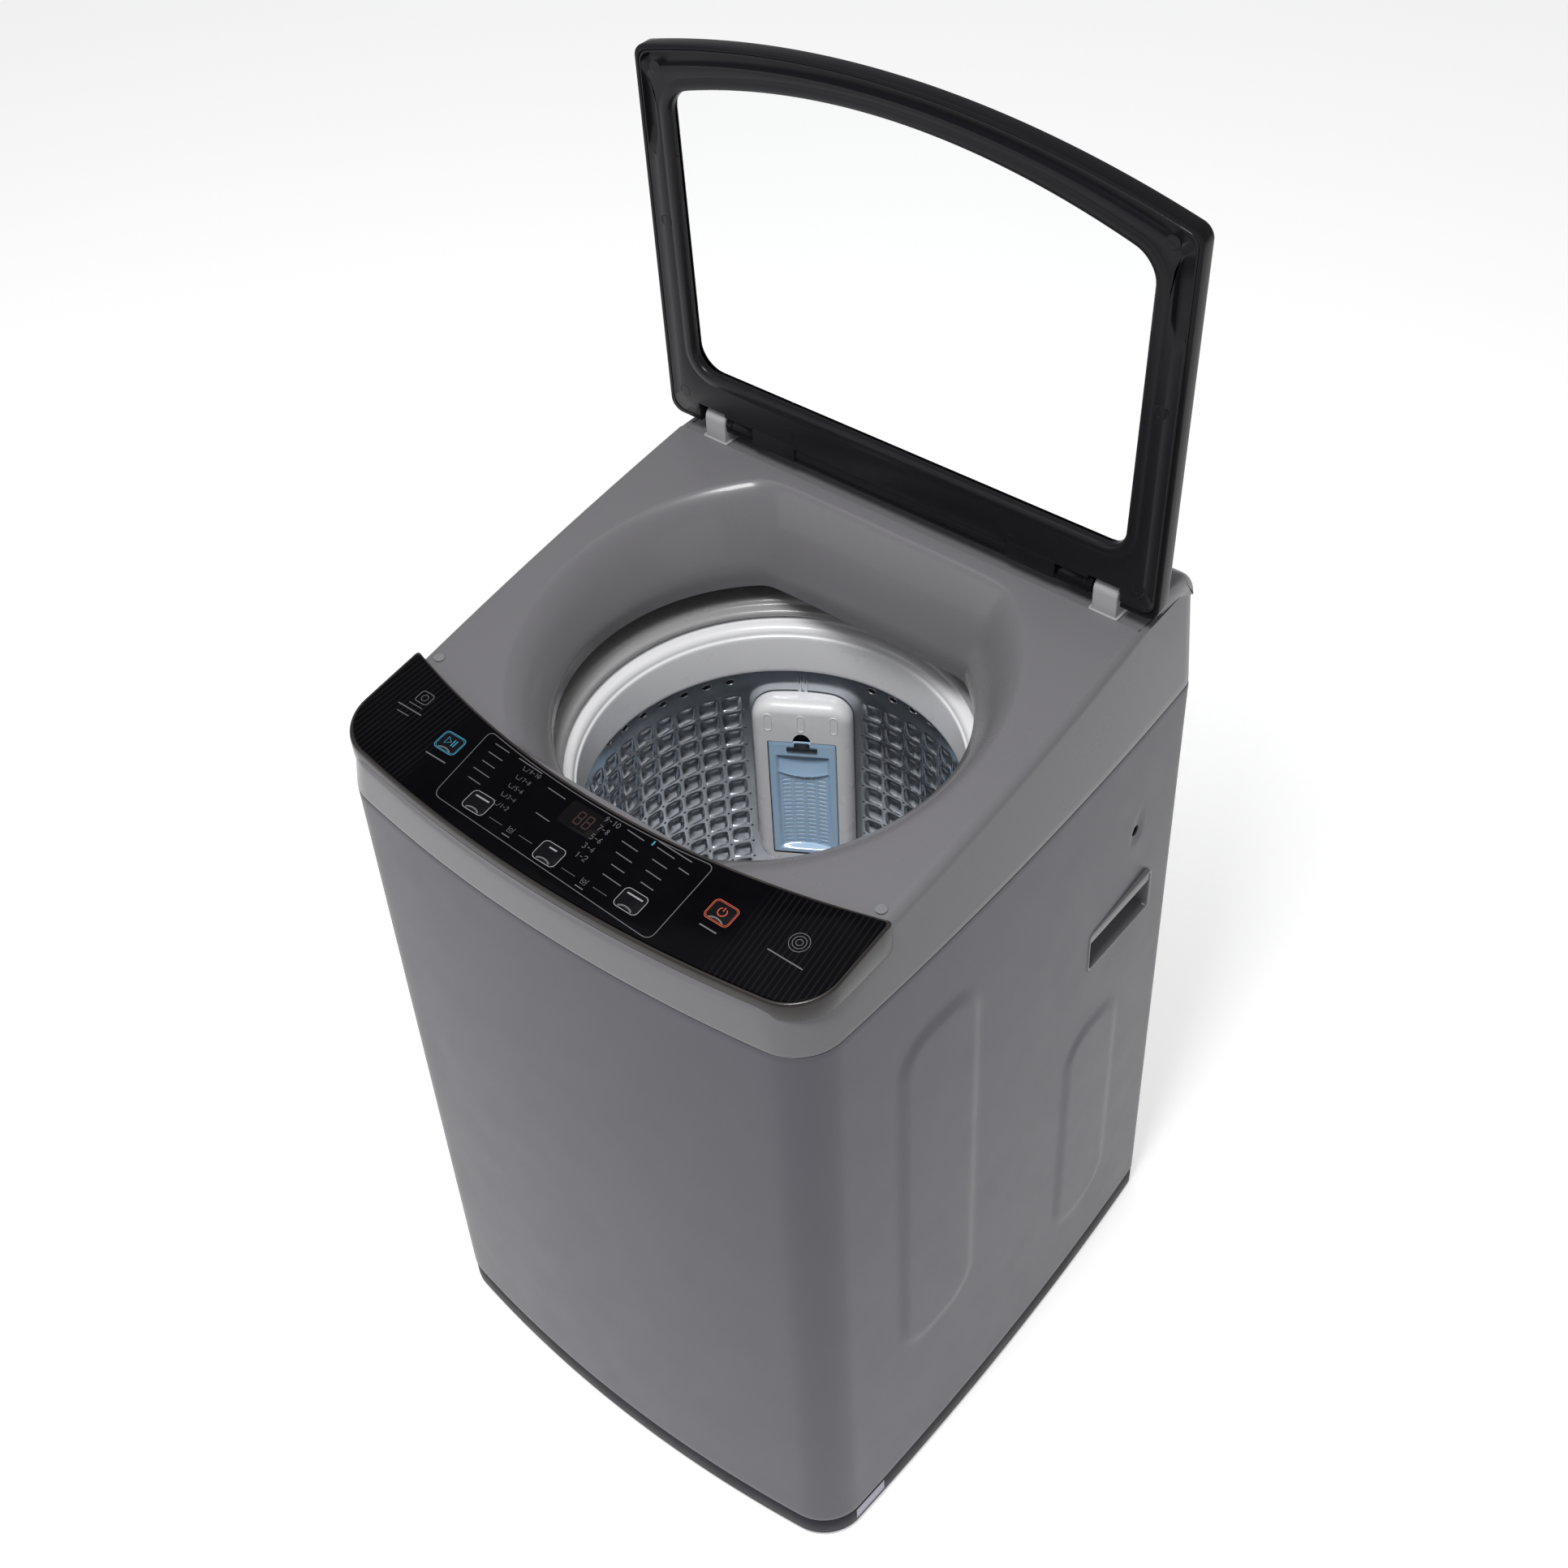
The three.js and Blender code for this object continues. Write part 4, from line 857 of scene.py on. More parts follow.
def makeCover(s):
    turns = turnsOf(s["around"])
    outline = planOutline(0.0)
    edge = [rayHit(outline, *funnelPoint(a, 1.0)) for a in turns]

    def plan(inset, share):
        # the outline drawn in by inset, tapering from the seam at share 0 to the top at share 1
        ring = []
        for x, y in edge:
            away = math.hypot(x, y)
            k = (away - inset) / away
            ring.append((x * k * mix(1.0, s["taper"], share), y * k))
        return ring

    def funnel(share, depth, drop=0.0, grow=0.0):
        plain = [funnelPoint(a, share, grow) for a in turns]
        return [(x, y, mix(s["openingZ"], coverTopAt(y), depth) - drop) for x, y in plain]

    def level(ring, drop):
        return [(x, y, coverTopAt(y) - drop) for x, y in ring]

    def side(inset, share, part):
        return [(x, y, mix(coverTopAt(y) - s["edge"], bottom, part)) for x, y in plan(inset, share)]

    bottom = seamZ + s["lap"]
    rings = [[(*funnelPoint(a, 0.0), z) for a in turns] for z in (s["skirtZ"], 838.0, 842.5)]
    rings += [funnel(share, depth) for share, depth in s["bowl"]]
    crease = rings[-1]
    rim = plan(s["rim"], 1.0)
    for k in (0.12, 0.3, 0.5, 0.7, 0.88, 1.0):
        rings.append(level([(mix(c[0], r[0], k), mix(c[1], r[1], k)) for c, r in zip(crease, rim)], 0.0))
    for a in (math.pi / 2 * k / 8 for k in range(1, 9)):
        rings.append(level(plan(s["rim"] * (1 - math.sin(a)), 1.0), s["edge"] * (1 - math.cos(a))))
    rings += [side(0.0, 1.0 - part, part) for part in (0.25, 0.5, 0.75, 0.9)]
    rings += [onAxis(plan(inset, share), bottom + rise, "z")
              for inset, share, rise in ((0.0, 0.01, 1.2), (0.3, 0.0, 0.4), (1.0, 0.0, 0.0), (s["skin"], 0.0, 0.0))]
    rings.append(side(s["skin"], 0.5, 0.5))
    rings += [level(plan(s["skin"] + inset, 1.0), drop) for inset, drop in ((3, 8.0), (12, 3.4))]
    rings.append(level([(x * 1.012, y * 1.012) for x, y, z in crease], 4.0))
    rings += [funnel(share, depth, s["skin"], s["skin"]) for share, depth in s["bowlBack"]]
    rings += [[(*funnelPoint(a, 0.0, s["skin"]), s["skirtZ"]) for a in turns]]
    skin = addLoft("top_cover_skin", rings, finish["coverPlastic"], 40.0, loop=True)
    # the well for the hinge, its floor lapped under the skin, and a hole in the rear wall
    w = s["well"]
    front, floor, half = w["front"], w["floor"], w["half"]
    combine(skin, [block(-300, 300, front, 320, floor, 1000)], crease=40.0)
    x, z, radius = s["hoseHole"]
    combine(skin, [rod("cutter", (x, 290, z), (x, 320, z), radius, count=32)], crease=40.0)
    parts = [skin, makeConsole(console)]
    for rear, low, high in ((console["front"] + 2.0, floor - w["skin"], floor),
                            (front - 0.4, floor - 1.0, floor + 3.0)):
        parts.append(block(-half, half, front - w["lap"], rear, low, high, finish["coverPlastic"]))
    settle(join("top_cover_moulding", parts), "cabinet", "grey_plastic", "top_cover")


console = {"front": 236.4, "top": 958.6, "round": 45.0, "half": 271.6, "low": 917.0, "middle": (268.0, 938.0),
           # rounded ends: distance in from the end and how much smaller
           "ends": ((0.0, 7.0), (1.2, 4.0), (3.2, 1.8), (6.0, 0.5), (9.5, 0.0))}


def makeConsole(c):
    # the raised part behind the hinge
    profile = [(c["front"], c["low"]), (rearY, c["low"]), (rearY, c["top"] - c["round"])]
    for a in (math.pi / 2 * k / 12 for k in range(1, 13)):
        profile.append((rearY - c["round"] * (1 - math.cos(a)), c["top"] - c["round"] * (1 - math.sin(a))))
    profile += [(c["front"] + 3.0, c["top"]), (c["front"] + 0.9, c["top"] - 0.9), (c["front"], c["top"] - 3.0)]
    spans = [(inward - c["half"], inset) for inward, inset in c["ends"]]
    spans += [(-x, inset) for x, inset in reversed(spans)]
    middleY, middleZ = c["middle"]
    rings = []
    for x, inset in spans:
        ring = []
        for y, z in profile:
            dy, dz = y - middleY, z - middleZ
            k = 1 - inset / max(1.0, math.hypot(dy, dz))
            ring.append((x, middleY + dy * k, max(c["low"], middleZ + dz * k)))
        rings.append(ring)
    body = addLoft("console", rings, finish["coverPlastic"], 40.0)
    return combine(body, [slab("limits", planOutline(0.4), 900.0, 990.0)], "INTERSECT", 40.0)


def makeStops():
    # clear stops that the lid closes on
    for side, word in hands:
        low, high = (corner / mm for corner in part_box(f"lid_buffer_{word}"))
        profile = [(5.4, low.z - 0.6), (5.4, low.z + 0.3), (4.9, high.z - 0.12), (3.6, high.z - 0.02),
                   (0.01, high.z)]
        piece = addTurned(f"lid_stop_{word}", profile, finish["clearBumper"], 36, (low.x + high.x) / 2,
                          (low.y + high.y) / 2, loop=False)
        settle(piece, "cabinet", "clear_bumper", f"lid_buffer_{word}")


makeCover(cover)
makeStops()


print("stage 5: control panel")

panel = {
    "tray": 857.4,
    # how far in and how far up from the tray, then how far in and how far down from the face
    "lowerEdge": ((1.2, 0.0), (0.3, 0.8), (0.0, 2.0)),
    "upperEdge": ((0.0, 3.0), (0.25, 1.6), (0.8, 0.6), (1.6, 0.1), (2.3, 0.0), (2.9, 0.35), (3.0, 2.55)),
    "faceLevels": (-2.3, -0.05),
    "proud": 7.5,
    "middleY": -235.0,
    "keys": {
        "start_pause_key": (-169.0, -231.0, "printCyan"),
        "process_key": (-99.0, -266.0, "printPale"),
        "custom_key": (-8.0, -272.0, "printPale"),
        "program_key": (84.0, -270.0, "printPale"),
        "power_key": (155.0, -237.0, "printOrange"),
    },
    "keySize": (27.0, 22.0),
    "display": (-8.0, -229.0, 42.0, 26.0),
    "legendBox": [(-141.0, -281.0), (122.0, -291.0), (120.0, -147.0)],
    "legendGap": 2.2,
    "printRise": -0.01,
}
panelTop = coverTopAt(panel["middleY"]) + panel["proud"]


def onPanel(x, y, height=0.0):
    # from the panel's own flat drawing to its place on the slope
    dy = y - panel["middleY"]
    return (
        x,
        panel["middleY"] + dy * math.cos(slopeAngle) - height * math.sin(slopeAngle),
        panelTop + dy * math.sin(slopeAngle) + height * math.cos(slopeAngle),
    )


def panelOutline(inset=0.0):
    w = 277.0 - inset
    tip = frontY + 3.0 + inset
    r = 40.0 - inset * 0.6
    rear = -166.0 - inset
    start = w - r
    slope = 2 * frontBow * start / w ** 2
    startY = tip - frontBow * (1 - (start / w) ** 2)
    cornerY = startY + slope * r
    return traceOutline((-start, startY), [
        ("bend", (0.0, startY - slope * start), (start, startY), 56),
        ("round", (w, cornerY), (w, cornerY + r), 12),
        ("to", (w, rear - 4.0), 6),
        ("round", (w, rear), (w - 4.0, rear - 1.1), 4),
        ("bend", (0.0, rear - 78.9), (-w + 4.0, rear - 1.1), 56),
        ("round", (-w, rear), (-w, rear - 4.0), 4),
        ("to", (-w, cornerY + r), 6),
        ("round", (-w, cornerY), (-start, startY), 12),
    ])


def faceRear(x):
    # the rear edge of the black face, in the panel's flat drawing
    return -209.3 + 38.9 * (x / 269.7) ** 2


def panelSlab(name, outline, low, high, material=None, edge=0.0):
    piece = slab(name, outline, low, high, material, "z", edge)
    for vertex in piece.data.vertices:
        x, y, z = (c / mm for c in vertex.co)
        vertex.co = Vector(onPanel(x, y, z)) * mm
    return piece


def makePanel(s):
    rings = [onAxis(panelOutline(inset), s["tray"] + rise, "z") for inset, rise in s["lowerEdge"]]
    rings += [[(x, y, onPanel(x, y)[2] - drop) for x, y in panelOutline(inset)] for inset, drop in s["upperEdge"]]
    housing = addLoft("panel_bezel", rings, finish["bezelPlastic"], 40.0)
    low, high = s["faceLevels"]
    fascia = panelSlab("panel_face", panelOutline(3.3), low, high, finish["panelBlack"], 0.5)
    w, h = s["keySize"]
    x, y, dw, dh = s["display"]
    plates = [(key[0], key[1], w + gap, h + gap, corner) for gap, corner in ((1.2, 5.5), (0.8, 5.4))
              for key in s["keys"].values()]
    plates.append((x, y, dw + 0.5, dh + 0.5, 3.2))
    cutters = [panelSlab("cutter", centredRectangle(*plate), -9.0, 5.0) for plate in plates]
    count = len(s["keys"])
    combine(housing, cutters[:count], crease=40.0)
    combine(fascia, cutters[count:], crease=40.0)
    settle(housing, "cabinet", "panel_bronze", "panel_housing")
    settle(fascia, "cabinet", "panel_black", "panel_fascia")
    window = panelSlab("display_pane", centredRectangle(x, y, dw, dh, 3.0), -1.6, high, finish["displayGloss"], 0.3)
    settle(window, "cabinet", "panel_black", "display_window")


def inkLine(points, width, closed=False, rise=None):
    # a thin printed line along points of the panel's flat drawing
    rise = panel["printRise"] if rise is None else rise
    count = len(points)
    top, result, faces = [], [], []
    for i in range(count):
        here = Vector(points[i])
        before = Vector(points[i - 1]) if closed or i else here
        after = Vector(points[(i + 1) % count]) if closed or i < count - 1 else here
        along = (after - before).normalized()
        across = Vector((-along.y, along.x)) * width / 2
        top.append((here + across, here - across))
    for height in (rise - 0.16, rise):
        for a, b in top:
            result += [onPanel(a.x, a.y, height), onPanel(b.x, b.y, height)]
    layer = 2 * count
    for i in range(count if closed else count - 1):
        a, b = 2 * i, 2 * ((i + 1) % count)
        faces.append((layer + a, layer + b, layer + b + 1, layer + a + 1))
        faces.append((a, b, layer + b, layer + a))
        faces.append((a + 1, layer + a + 1, layer + b + 1, b + 1))
        faces.append((a, a + 1, b + 1, b))
    if not closed:
        last = 2 * (count - 1)
        faces.append((0, layer, layer + 1, 1))
        faces.append((last, last + 1, layer + last + 1, layer + last))
    return result, faces


def dash(x, y, length, width=1.6, turn=0.0):
    a = math.radians(turn)
    dx, dy = math.cos(a) * length / 2, math.sin(a) * length / 2
    return inkLine([(x - dx, y - dy), (x, y), (x + dx, y + dy)], width)


digitStrokes = {
    "1": [[(0.2, 0.8), (0.5, 1.0), (0.5, 0.0)]],
    "2": [[(0.0, 0.8), (0.2, 1.0), (0.6, 1.0), (0.75, 0.8), (0.7, 0.55), (0.0, 0.0), (0.8, 0.0)]],
    "3": [[(0.0, 0.95), (0.4, 1.0), (0.7, 0.8), (0.4, 0.52), (0.75, 0.3), (0.4, 0.0), (0.0, 0.08)]],
    "4": [[(0.6, 0.0), (0.6, 1.0), (0.0, 0.3), (0.8, 0.3)]],
    "5": [[(0.7, 1.0), (0.1, 1.0), (0.05, 0.55), (0.5, 0.6), (0.75, 0.3), (0.45, 0.0), (0.0, 0.06)]],
    "6": [[(0.6, 1.0), (0.15, 0.6), (0.05, 0.25), (0.4, 0.0), (0.72, 0.28), (0.4, 0.55), (0.1, 0.38)]],
    "7": [[(0.0, 1.0), (0.75, 1.0), (0.3, 0.0)]],
    "8": [[(0.4, 0.52), (0.1, 0.76), (0.4, 1.0), (0.7, 0.76), (0.4, 0.52), (0.05, 0.25), (0.4, 0.0), (0.75, 0.25),
           (0.4, 0.52)]],
    "9": [[(0.65, 0.62), (0.35, 0.45), (0.06, 0.72), (0.4, 1.0), (0.7, 0.75), (0.6, 0.4), (0.2, 0.0)]],
    "0": [[(0.4, 0.0), (0.05, 0.3), (0.05, 0.7), (0.4, 1.0), (0.75, 0.7), (0.75, 0.3), (0.4, 0.0)]],
    "-": [[(0.1, 0.5), (0.7, 0.5)]],
}


def numeral(text, x, y, height, width=0.55):
    parts = []
    for character in text:
        for stroke in digitStrokes[character]:
            parts.append(inkLine([(x + u * height * 0.72, y + v * height) for u, v in stroke], width))
        x += height * 0.78
    return parts


def arcPoints(cx, cy, radius, start=0, end=360, steps=14):
    return [(cx + radius * math.cos(a), cy + radius * math.sin(a))
            for a in (math.radians(mix(start, end, k / steps)) for k in range(steps + 1))]


prints = {
    "text": (("9-10", "7-8", "5-6", "3-4", "1-2"), -219.5, -10.5),
    # columns of plain marks for the programme names: place, step, shortest, spread, width
    "columns": ((-124, -209, 1.0, -10.2, 15, 7, 0.85), (42, -216, 3.4, -11.6, 15, 8, 0.95),
                (76, -216, 3.0, -11.6, 12, 9, 0.95)),
    # other marks: place, length, width, turn
    "dashes": ((-88, -210, 30, 0.95, -3), (-47, -220, 22, 0.85, -3), (82, -210.5, 38, 1.0, -2),
               (-40, -246, 17, 0.9, -3), (101, -222, 12, 0.95, -3), (-169, -250, 25, 1.3, 0),
               (155, -255, 18, 1.3, 0), (-229, -216, 17, 0.7, 0), (-231, -222, 30, 1.2, 0),
               (-233, -229, 15, 0.9, 0), (226, -243, 36, 1.2, 0)),
    "pictures": ((-54.0, -272.0), (37.0, -277.0)),
    "dot": (-228, -205),
    "rings": (226, -224),
    "lamp": (60.5, -214.0, 1.6, 5.0),
    "digits": (-14.5, -4.5),
    "segments": (((0, 0), (6, 0)), ((0, 6.5), (6, 6.5)), ((0, 13), (6, 13)), ((0, 0.6), (0, 6)),
                 ((0, 7), (0, 12.4)), ((6, 0.6), (6, 6)), ((6, 7), (6, 12.4))),
    "digitLow": -235.5,
}


def makePrint(s):
    low, high, (right, left) = panel["legendBox"]
    # the frame's rear line runs along the rear edge of the face
    across = [mix(right, left, k / 16) for k in range(17)]
    frameLine = rounded([low, high] + [(x, faceRear(x) - panel["legendGap"]) for x in across], 9.0, 6)
    grey = [inkLine(frameLine, 0.7, True)]
    seed = random.Random(11)
    for k in range(5):
        for x, y, stepX, stepY, least, spreadBy, width in s["columns"]:
            grey.append(dash(x + k * stepX, y + k * stepY, least + seed.random() * spreadBy, width, -3))
    grey += [dash(*values) for values in s["dashes"]]
    texts, top, pitch = s["text"]
    for k, text in enumerate(texts):
        y = top + k * pitch
        grey += numeral(text, 8 + k * 0.8, y, 5.6, 0.62)
        grey += numeral(text, -84 + k * 0.8, y + 2.5, 4.2, 0.5)
        grey.append(cup(-89 + k, y + 4.55, 3.0, 2.0, 1.95))
    # small pictures between the lower keys, each with a line to either side
    for x, y in s["pictures"]:
        grey += [dash(x - 18, y, 16, 0.45, -1), dash(x + 18, y, 16, 0.45, -1), dash(x, y - 6.5, 9, 1.0, -1),
                 cup(x, y + 0.5, 3.0, 2.6, 3.0), inkLine(arcPoints(x, y + 0.5, 1.5), 0.4)]
    # a plain framed dot on the left and plain rings on the right
    grey.append(inkLine(centredRectangle(*s["dot"], 15.0, 13.0, 3.0, 5), 0.75, True))
    grey.append(inkLine(arcPoints(*s["dot"], 3.4), 0.6))
    grey += [inkLine(arcPoints(*s["rings"], radius, 0, 360, 28), 0.6) for radius in (3.0, 6.0, 9.0)]
    settle(gather("panel_print", grey, finish["printGreyAndPaintedHighlight"], 60.0), "cabinet", "pale_grey_plastic")
    digits = [inkLine([(x + u, s["digitLow"] + v) for u, v in segment], 1.1, rise=0.03)
              for x in s["digits"] for segment in s["segments"]]
    settle(gather("display_digits", digits, finish["displayRed"], 60.0), "cabinet", "panel_black")
    settle(gather("level_lamp", [dash(*s["lamp"])], finish["printCyan"], 60.0), "cabinet", "filter_blue")


def cup(x, y, top, foot, half):
    # an open cup shape, standing for water
    return inkLine([(x - top, y + half), (x - foot, y - half), (x + foot, y - half), (x + top, y + half)], 0.5)


keyPrint = {
    "rise": 0.34,
    "lift": 1.4,  # the sign stands above the thumb hollow
    "bars": {"process_key": 8.0, "custom_key": 4.25, "program_key": 8.5},
    # where the painted highlight sits on each key: how far down, radius and thickness
    "hollow": (-15.0, 9.6, 1.9),
}


def makeKeys(s, keys):
    w, h = panel["keySize"]

    def ink(points, width, closed=False):
        return inkLine(points, width, closed, s["rise"])

    for name, (x, y, tone) in keys.items():
        cap = panelSlab(name + "_cap", centredRectangle(x, y, w, h, 5.0), -4.6, 0.26, finish["keyGloss"], 0.45)
        settle(cap, name, "panel_black", name)
        lines = [ink(centredRectangle(x, y, w - 1.6, h - 1.6, 4.6), 0.6, True)]
        if tone != "printPale":
            lines.append(ink(centredRectangle(x, y, w - 4.0, h - 4.0, 3.8), 0.4, True))
        top = y + s["lift"]
        if name == "start_pause_key":
            lines.append(ink([(x - 5.5, top - 4), (x - 5.5, top + 4), (x + 0.2, top)], 0.9, True))
            lines += [ink([(x + u, top - 3.8), (x + u, top + 3.8)], 1.0) for u in (2.6, 5.2)]
        elif name == "power_key":
            lines.append(ink(arcPoints(x, top - 0.4, 4.1, 125, 415, 22), 0.9))
            lines.append(ink([(x, top + 0.4), (x, top + 4.6)], 0.9))
        else:
            half = s["bars"][name]
            lines.append(ink([(x - half, top + 4.0), (x + half, top + 4.0)], 1.5))
        settle(gather(name + "_print", lines, finish[tone], 60.0), name, "pale_grey_plastic")
        # painted highlight: a thin grey crescent stands for light on the rim of a thumb hollow
        down, radius, thick = s["hollow"]
        arc = arcPoints(x, y + down, radius, 40, 140, 16)
        middle = [(px, py - thick / 2 * math.sin(math.pi * k / 16)) for k, (px, py) in enumerate(arc)]
        paintedHighlight = gather(name + "_crescent", [ink(middle, 1.5)], finish["printGreyAndPaintedHighlight"], 60.0)
        settle(paintedHighlight, name, "pale_grey_plastic")


makePanel(panel)
makePrint(prints)
makeKeys(keyPrint, panel["keys"])


print("stage 6: lid and hinges")

lid = {
    "corner": 385.5,
    "bow": 42.6,
    "windowCorner": 351.0,
    "windowLow": 58.0,
    "postX": 229.0,
    "postWidth": 26.0,
    "caps": [(side * x, s) for side, word in hands
             for x, s in ((266.0, 371.0), (269.0, 215.0), (263.0, 26.0), (131.0, 28.0))],
}


def lidOutline(inset=0.0):
    low = -5.0 + inset
    bottom = 285.0 - inset
    top = 292.0 - inset
    corner = lid["corner"] - inset
    crown = corner + 2 * lid["bow"]
    return traceOutline((-bottom + 14, low), [
        ("to", (bottom - 14, low), 44), ("round", (bottom, low), (bottom, low + 14), 8),
        ("to", (top, corner - 10), 30), ("round", (top, corner), (top - 10, corner + 2.8), 8),
        ("bend", (0.0, crown - 2.8), (-top + 10, corner + 2.8), 64),
        ("round", (-top, corner), (-top, corner - 10), 8), ("to", (-bottom, low + 14), 30),
        ("round", (-bottom, low), (-bottom + 14, low), 8),
    ])


def windowOutline(grow=0.0):
    low = lid["windowLow"] - grow
    bottom = 246.0 + grow
    top = 253.0 + grow
    corner = lid["windowCorner"] + grow
    crown = corner + 2 * lid["bow"]
    r = 22.0 + grow
    return traceOutline((-bottom + r, low), [
        ("to", (bottom - r, low), 44), ("round", (bottom, low), (bottom, low + r), 8),
        ("to", (top, corner - r), 30), ("round", (top, corner), (top - r, corner + 6), 8),
        ("bend", (0.0, crown - 6), (-top + r, corner + 6), 64),
        ("round", (-top, corner), (-top, corner - r), 8), ("to", (-bottom, low + r), 30),
        ("round", (-bottom, low), (-bottom + r, low), 8),
    ])


def inLid(outline, depth):
    return [(x, hingeY + depth, hingeZ + s) for x, s in outline]


def hingeNotches():
    half = lid["postWidth"] / 2 + 4
    return [block(side * lid["postX"] - half, side * lid["postX"] + half, hingeY - 30, hingeY + 30,
                  hingeZ - 30, hingeZ + 17) for side, word in hands]


def makeLid(s):
    outerStations = [
        (lidOutline, 0.9, -12.3), (lidOutline, 0.2, -11.9), (lidOutline, 0.0, -11.0), (lidOutline, 0.0, 1.4),
        (lidOutline, 0.35, 2.8), (lidOutline, 1.2, 3.8), (lidOutline, 2.6, 4.2), (windowOutline, 12.0, 4.2),
        (windowOutline, 7.0, 4.2), (windowOutline, 5.8, 3.9), (windowOutline, 5.0, 3.1), (windowOutline, 5.0, 1.8),
        (windowOutline, 9.3, 1.8), (windowOutline, 9.3, -5.6), (lidOutline, 4.2, -5.6), (lidOutline, 4.0, -12.3),
    ]
    outerRings = [inLid(make(inset), depth) for make, inset, depth in outerStations]
    outer = addLoft("lid_rim", outerRings, finish["lidGloss"], 40.0, loop=True)
    combine(outer, hingeNotches(), crease=40.0)
    innerStations = [
        (lidOutline, 4.6, -6.0), (lidOutline, 4.35, -6.8), (lidOutline, 4.35, -11.2), (lidOutline, 4.9, -12.0),
        (lidOutline, 6.2, -12.1), (lidOutline, 6.8, None), (lidOutline, 15.4, None), (lidOutline, 16.2, -13.3),
        (lidOutline, 17.2, -13.8), (windowOutline, 14.5, -13.8), (windowOutline, 13.2, -13.5),
        (windowOutline, 12.4, -13.5), (windowOutline, 10.6, -14.2), (windowOutline, 8.0, -14.7),
        (windowOutline, 5.0, -14.8), (windowOutline, 2.4, -14.2), (windowOutline, 0.8, -12.8),
        (windowOutline, 0.0, -11.0), (windowOutline, 0.0, -6.0),
    ]

    def trough(x, v):
        # how deep the channel is: full along the front edge and in the finger recess of each side rail
        front = ease((v - 366) / 12)
        finger = ease((v - 285) / 22) * (1 - ease((v - 352) / 10)) if abs(x) > 200 else 0.0
        return max(front, finger), finger

    innerRings = []
    for make, inset, depth in innerStations:
        ring = []
        for x, v in make(inset):
            share, finger = trough(x, v)
            if depth is None:
                moved = x - math.copysign(5.0 * finger, x) if inset > 10 else x
                ring.append((moved, hingeY + mix(-12.7, -7.0, share), hingeZ + v))
            else:
                moved = x - math.copysign(5.0 * finger, x) if make is lidOutline and inset > 10 else x
                ring.append((moved, hingeY + depth, hingeZ + v))
        innerRings.append(ring)
    inner = addLoft("lid_lining", innerRings, finish["lidPlastic"], 40.0, loop=True)
    face = hingeY + lidInner
    cutters = hingeNotches()
    for side, word in hands:
        x0 = min(side * 124, side * 177)
        cutters.append(block(x0 - 0.4, x0 + 53.4, face - 10, face + 1.6, hingeZ - 20, hingeZ + 15.4))
        x0 = min(side * 177, side * 214)
        cutters.append(block(x0, x0 + 37, face - 10, hingeY + 2, hingeZ - 20, hingeZ + 13.4))
    combine(inner, cutters, crease=40.0)
    capParts = []
    for x, v in s["caps"]:
        rings = [[(x + r * math.cos(a), face + 0.2 - d, hingeZ + v + r * math.sin(a)) for a in turnsOf(20)]
                 for r, d in ((6.6, -1.0), (6.6, 0.1), (6.3, 0.28), (5.6, 0.28), (5.4, 0.05), (3.0, 0.02))]
        capParts.append(([p for ring in rings for p in ring], loftFaces(len(rings), 20)))
    caps = gather("lid_screw_caps", capParts, finish["lidPlastic"], 40.0)
    pane = addLoft("lid_pane", [inLid(windowOutline(a), d) for a, d in
                                ((8.0, -2.4), (8.8, -2.1), (9.0, -1.6), (9.0, 0.8), (8.8, 1.3), (8.0, 1.6))],
                   finish["lidGlass"], 40.0)
    settle(outer, "lid", "lid_black", "lid_outer_frame")
    settle(inner, "lid", "lid_black", "lid_inner_frame")
    settle(caps, "lid", "lid_black")
    settle(pane, "lid", "lid_glass", "lid_glass")
    for side, word in hands:
        x0 = min(side * 124, side * 177)
        plate = roundedRectangle(x0, x0 + 53, hingeZ - 4.4, hingeZ + 15, 1.6)
        parts = [slab("plate", plate, face + 0.05, face + 1.5, finish["lidPlastic"], "y", 0.3)]
        for x0, x1, radius, edge in ((177.6, 214.6, 11.4, 1.4), (206.0, 208.4, 12.2, 0.6)):
            parts.append(rod("barrel", (side * x0, hingeY, hingeZ), (side * x1, hingeY, hingeZ), radius,
                             finish["lidGloss"], 48, edge))
        settle(join(f"hinge_plate_{word}", parts), "lid", "lid_black", f"hinge_cover_{word}")


def makeHingePosts(s):
    for side, word in hands:
        x = side * s["postX"]
        outline = [(hingeY - 11, 932.3), (hingeY + 11, 932.3)]
        outline += [(hingeY + 11 * math.cos(a), hingeZ + 11 * math.sin(a))
                    for a in (math.pi * k / 18 for k in range(19))]
        post = slab("post", outline, x - 13, x + 13, finish["postPlastic"], "x", 2.2, 4)
        bore = rod("cutter", (x - 20, hingeY, hingeZ), (x + 20, hingeY, hingeZ), 4.3, count=24)
        combine(post, [bore], crease=40.0)
        # flange round the foot of the post
        plan = roundedRectangle(x - 15.5, x + 15.5, hingeY - 13.5, hingeY + 13.2, 3.0)
        flange = slab("flange", plan, 932.1, 934.0, finish["postPlastic"], "z", 0.6)
        settle(join(f"lid_post_{word}", [post, flange]), "cabinet", "pale_grey_plastic", f"hinge_post_{word}")
        pin = rod(f"lid_pin_{word}", (x - 24.8, hingeY, hingeZ), (x + 24.8, hingeY, hingeZ), 4.0,
                  finish["zincSteel"], 28, 0.8)
        settle(pin, "cabinet", "zinc_steel", f"hinge_pin_{word}")


makeLid(lid)
makeHingePosts(lid)


print("stage 7: drum, rings and lint filter")

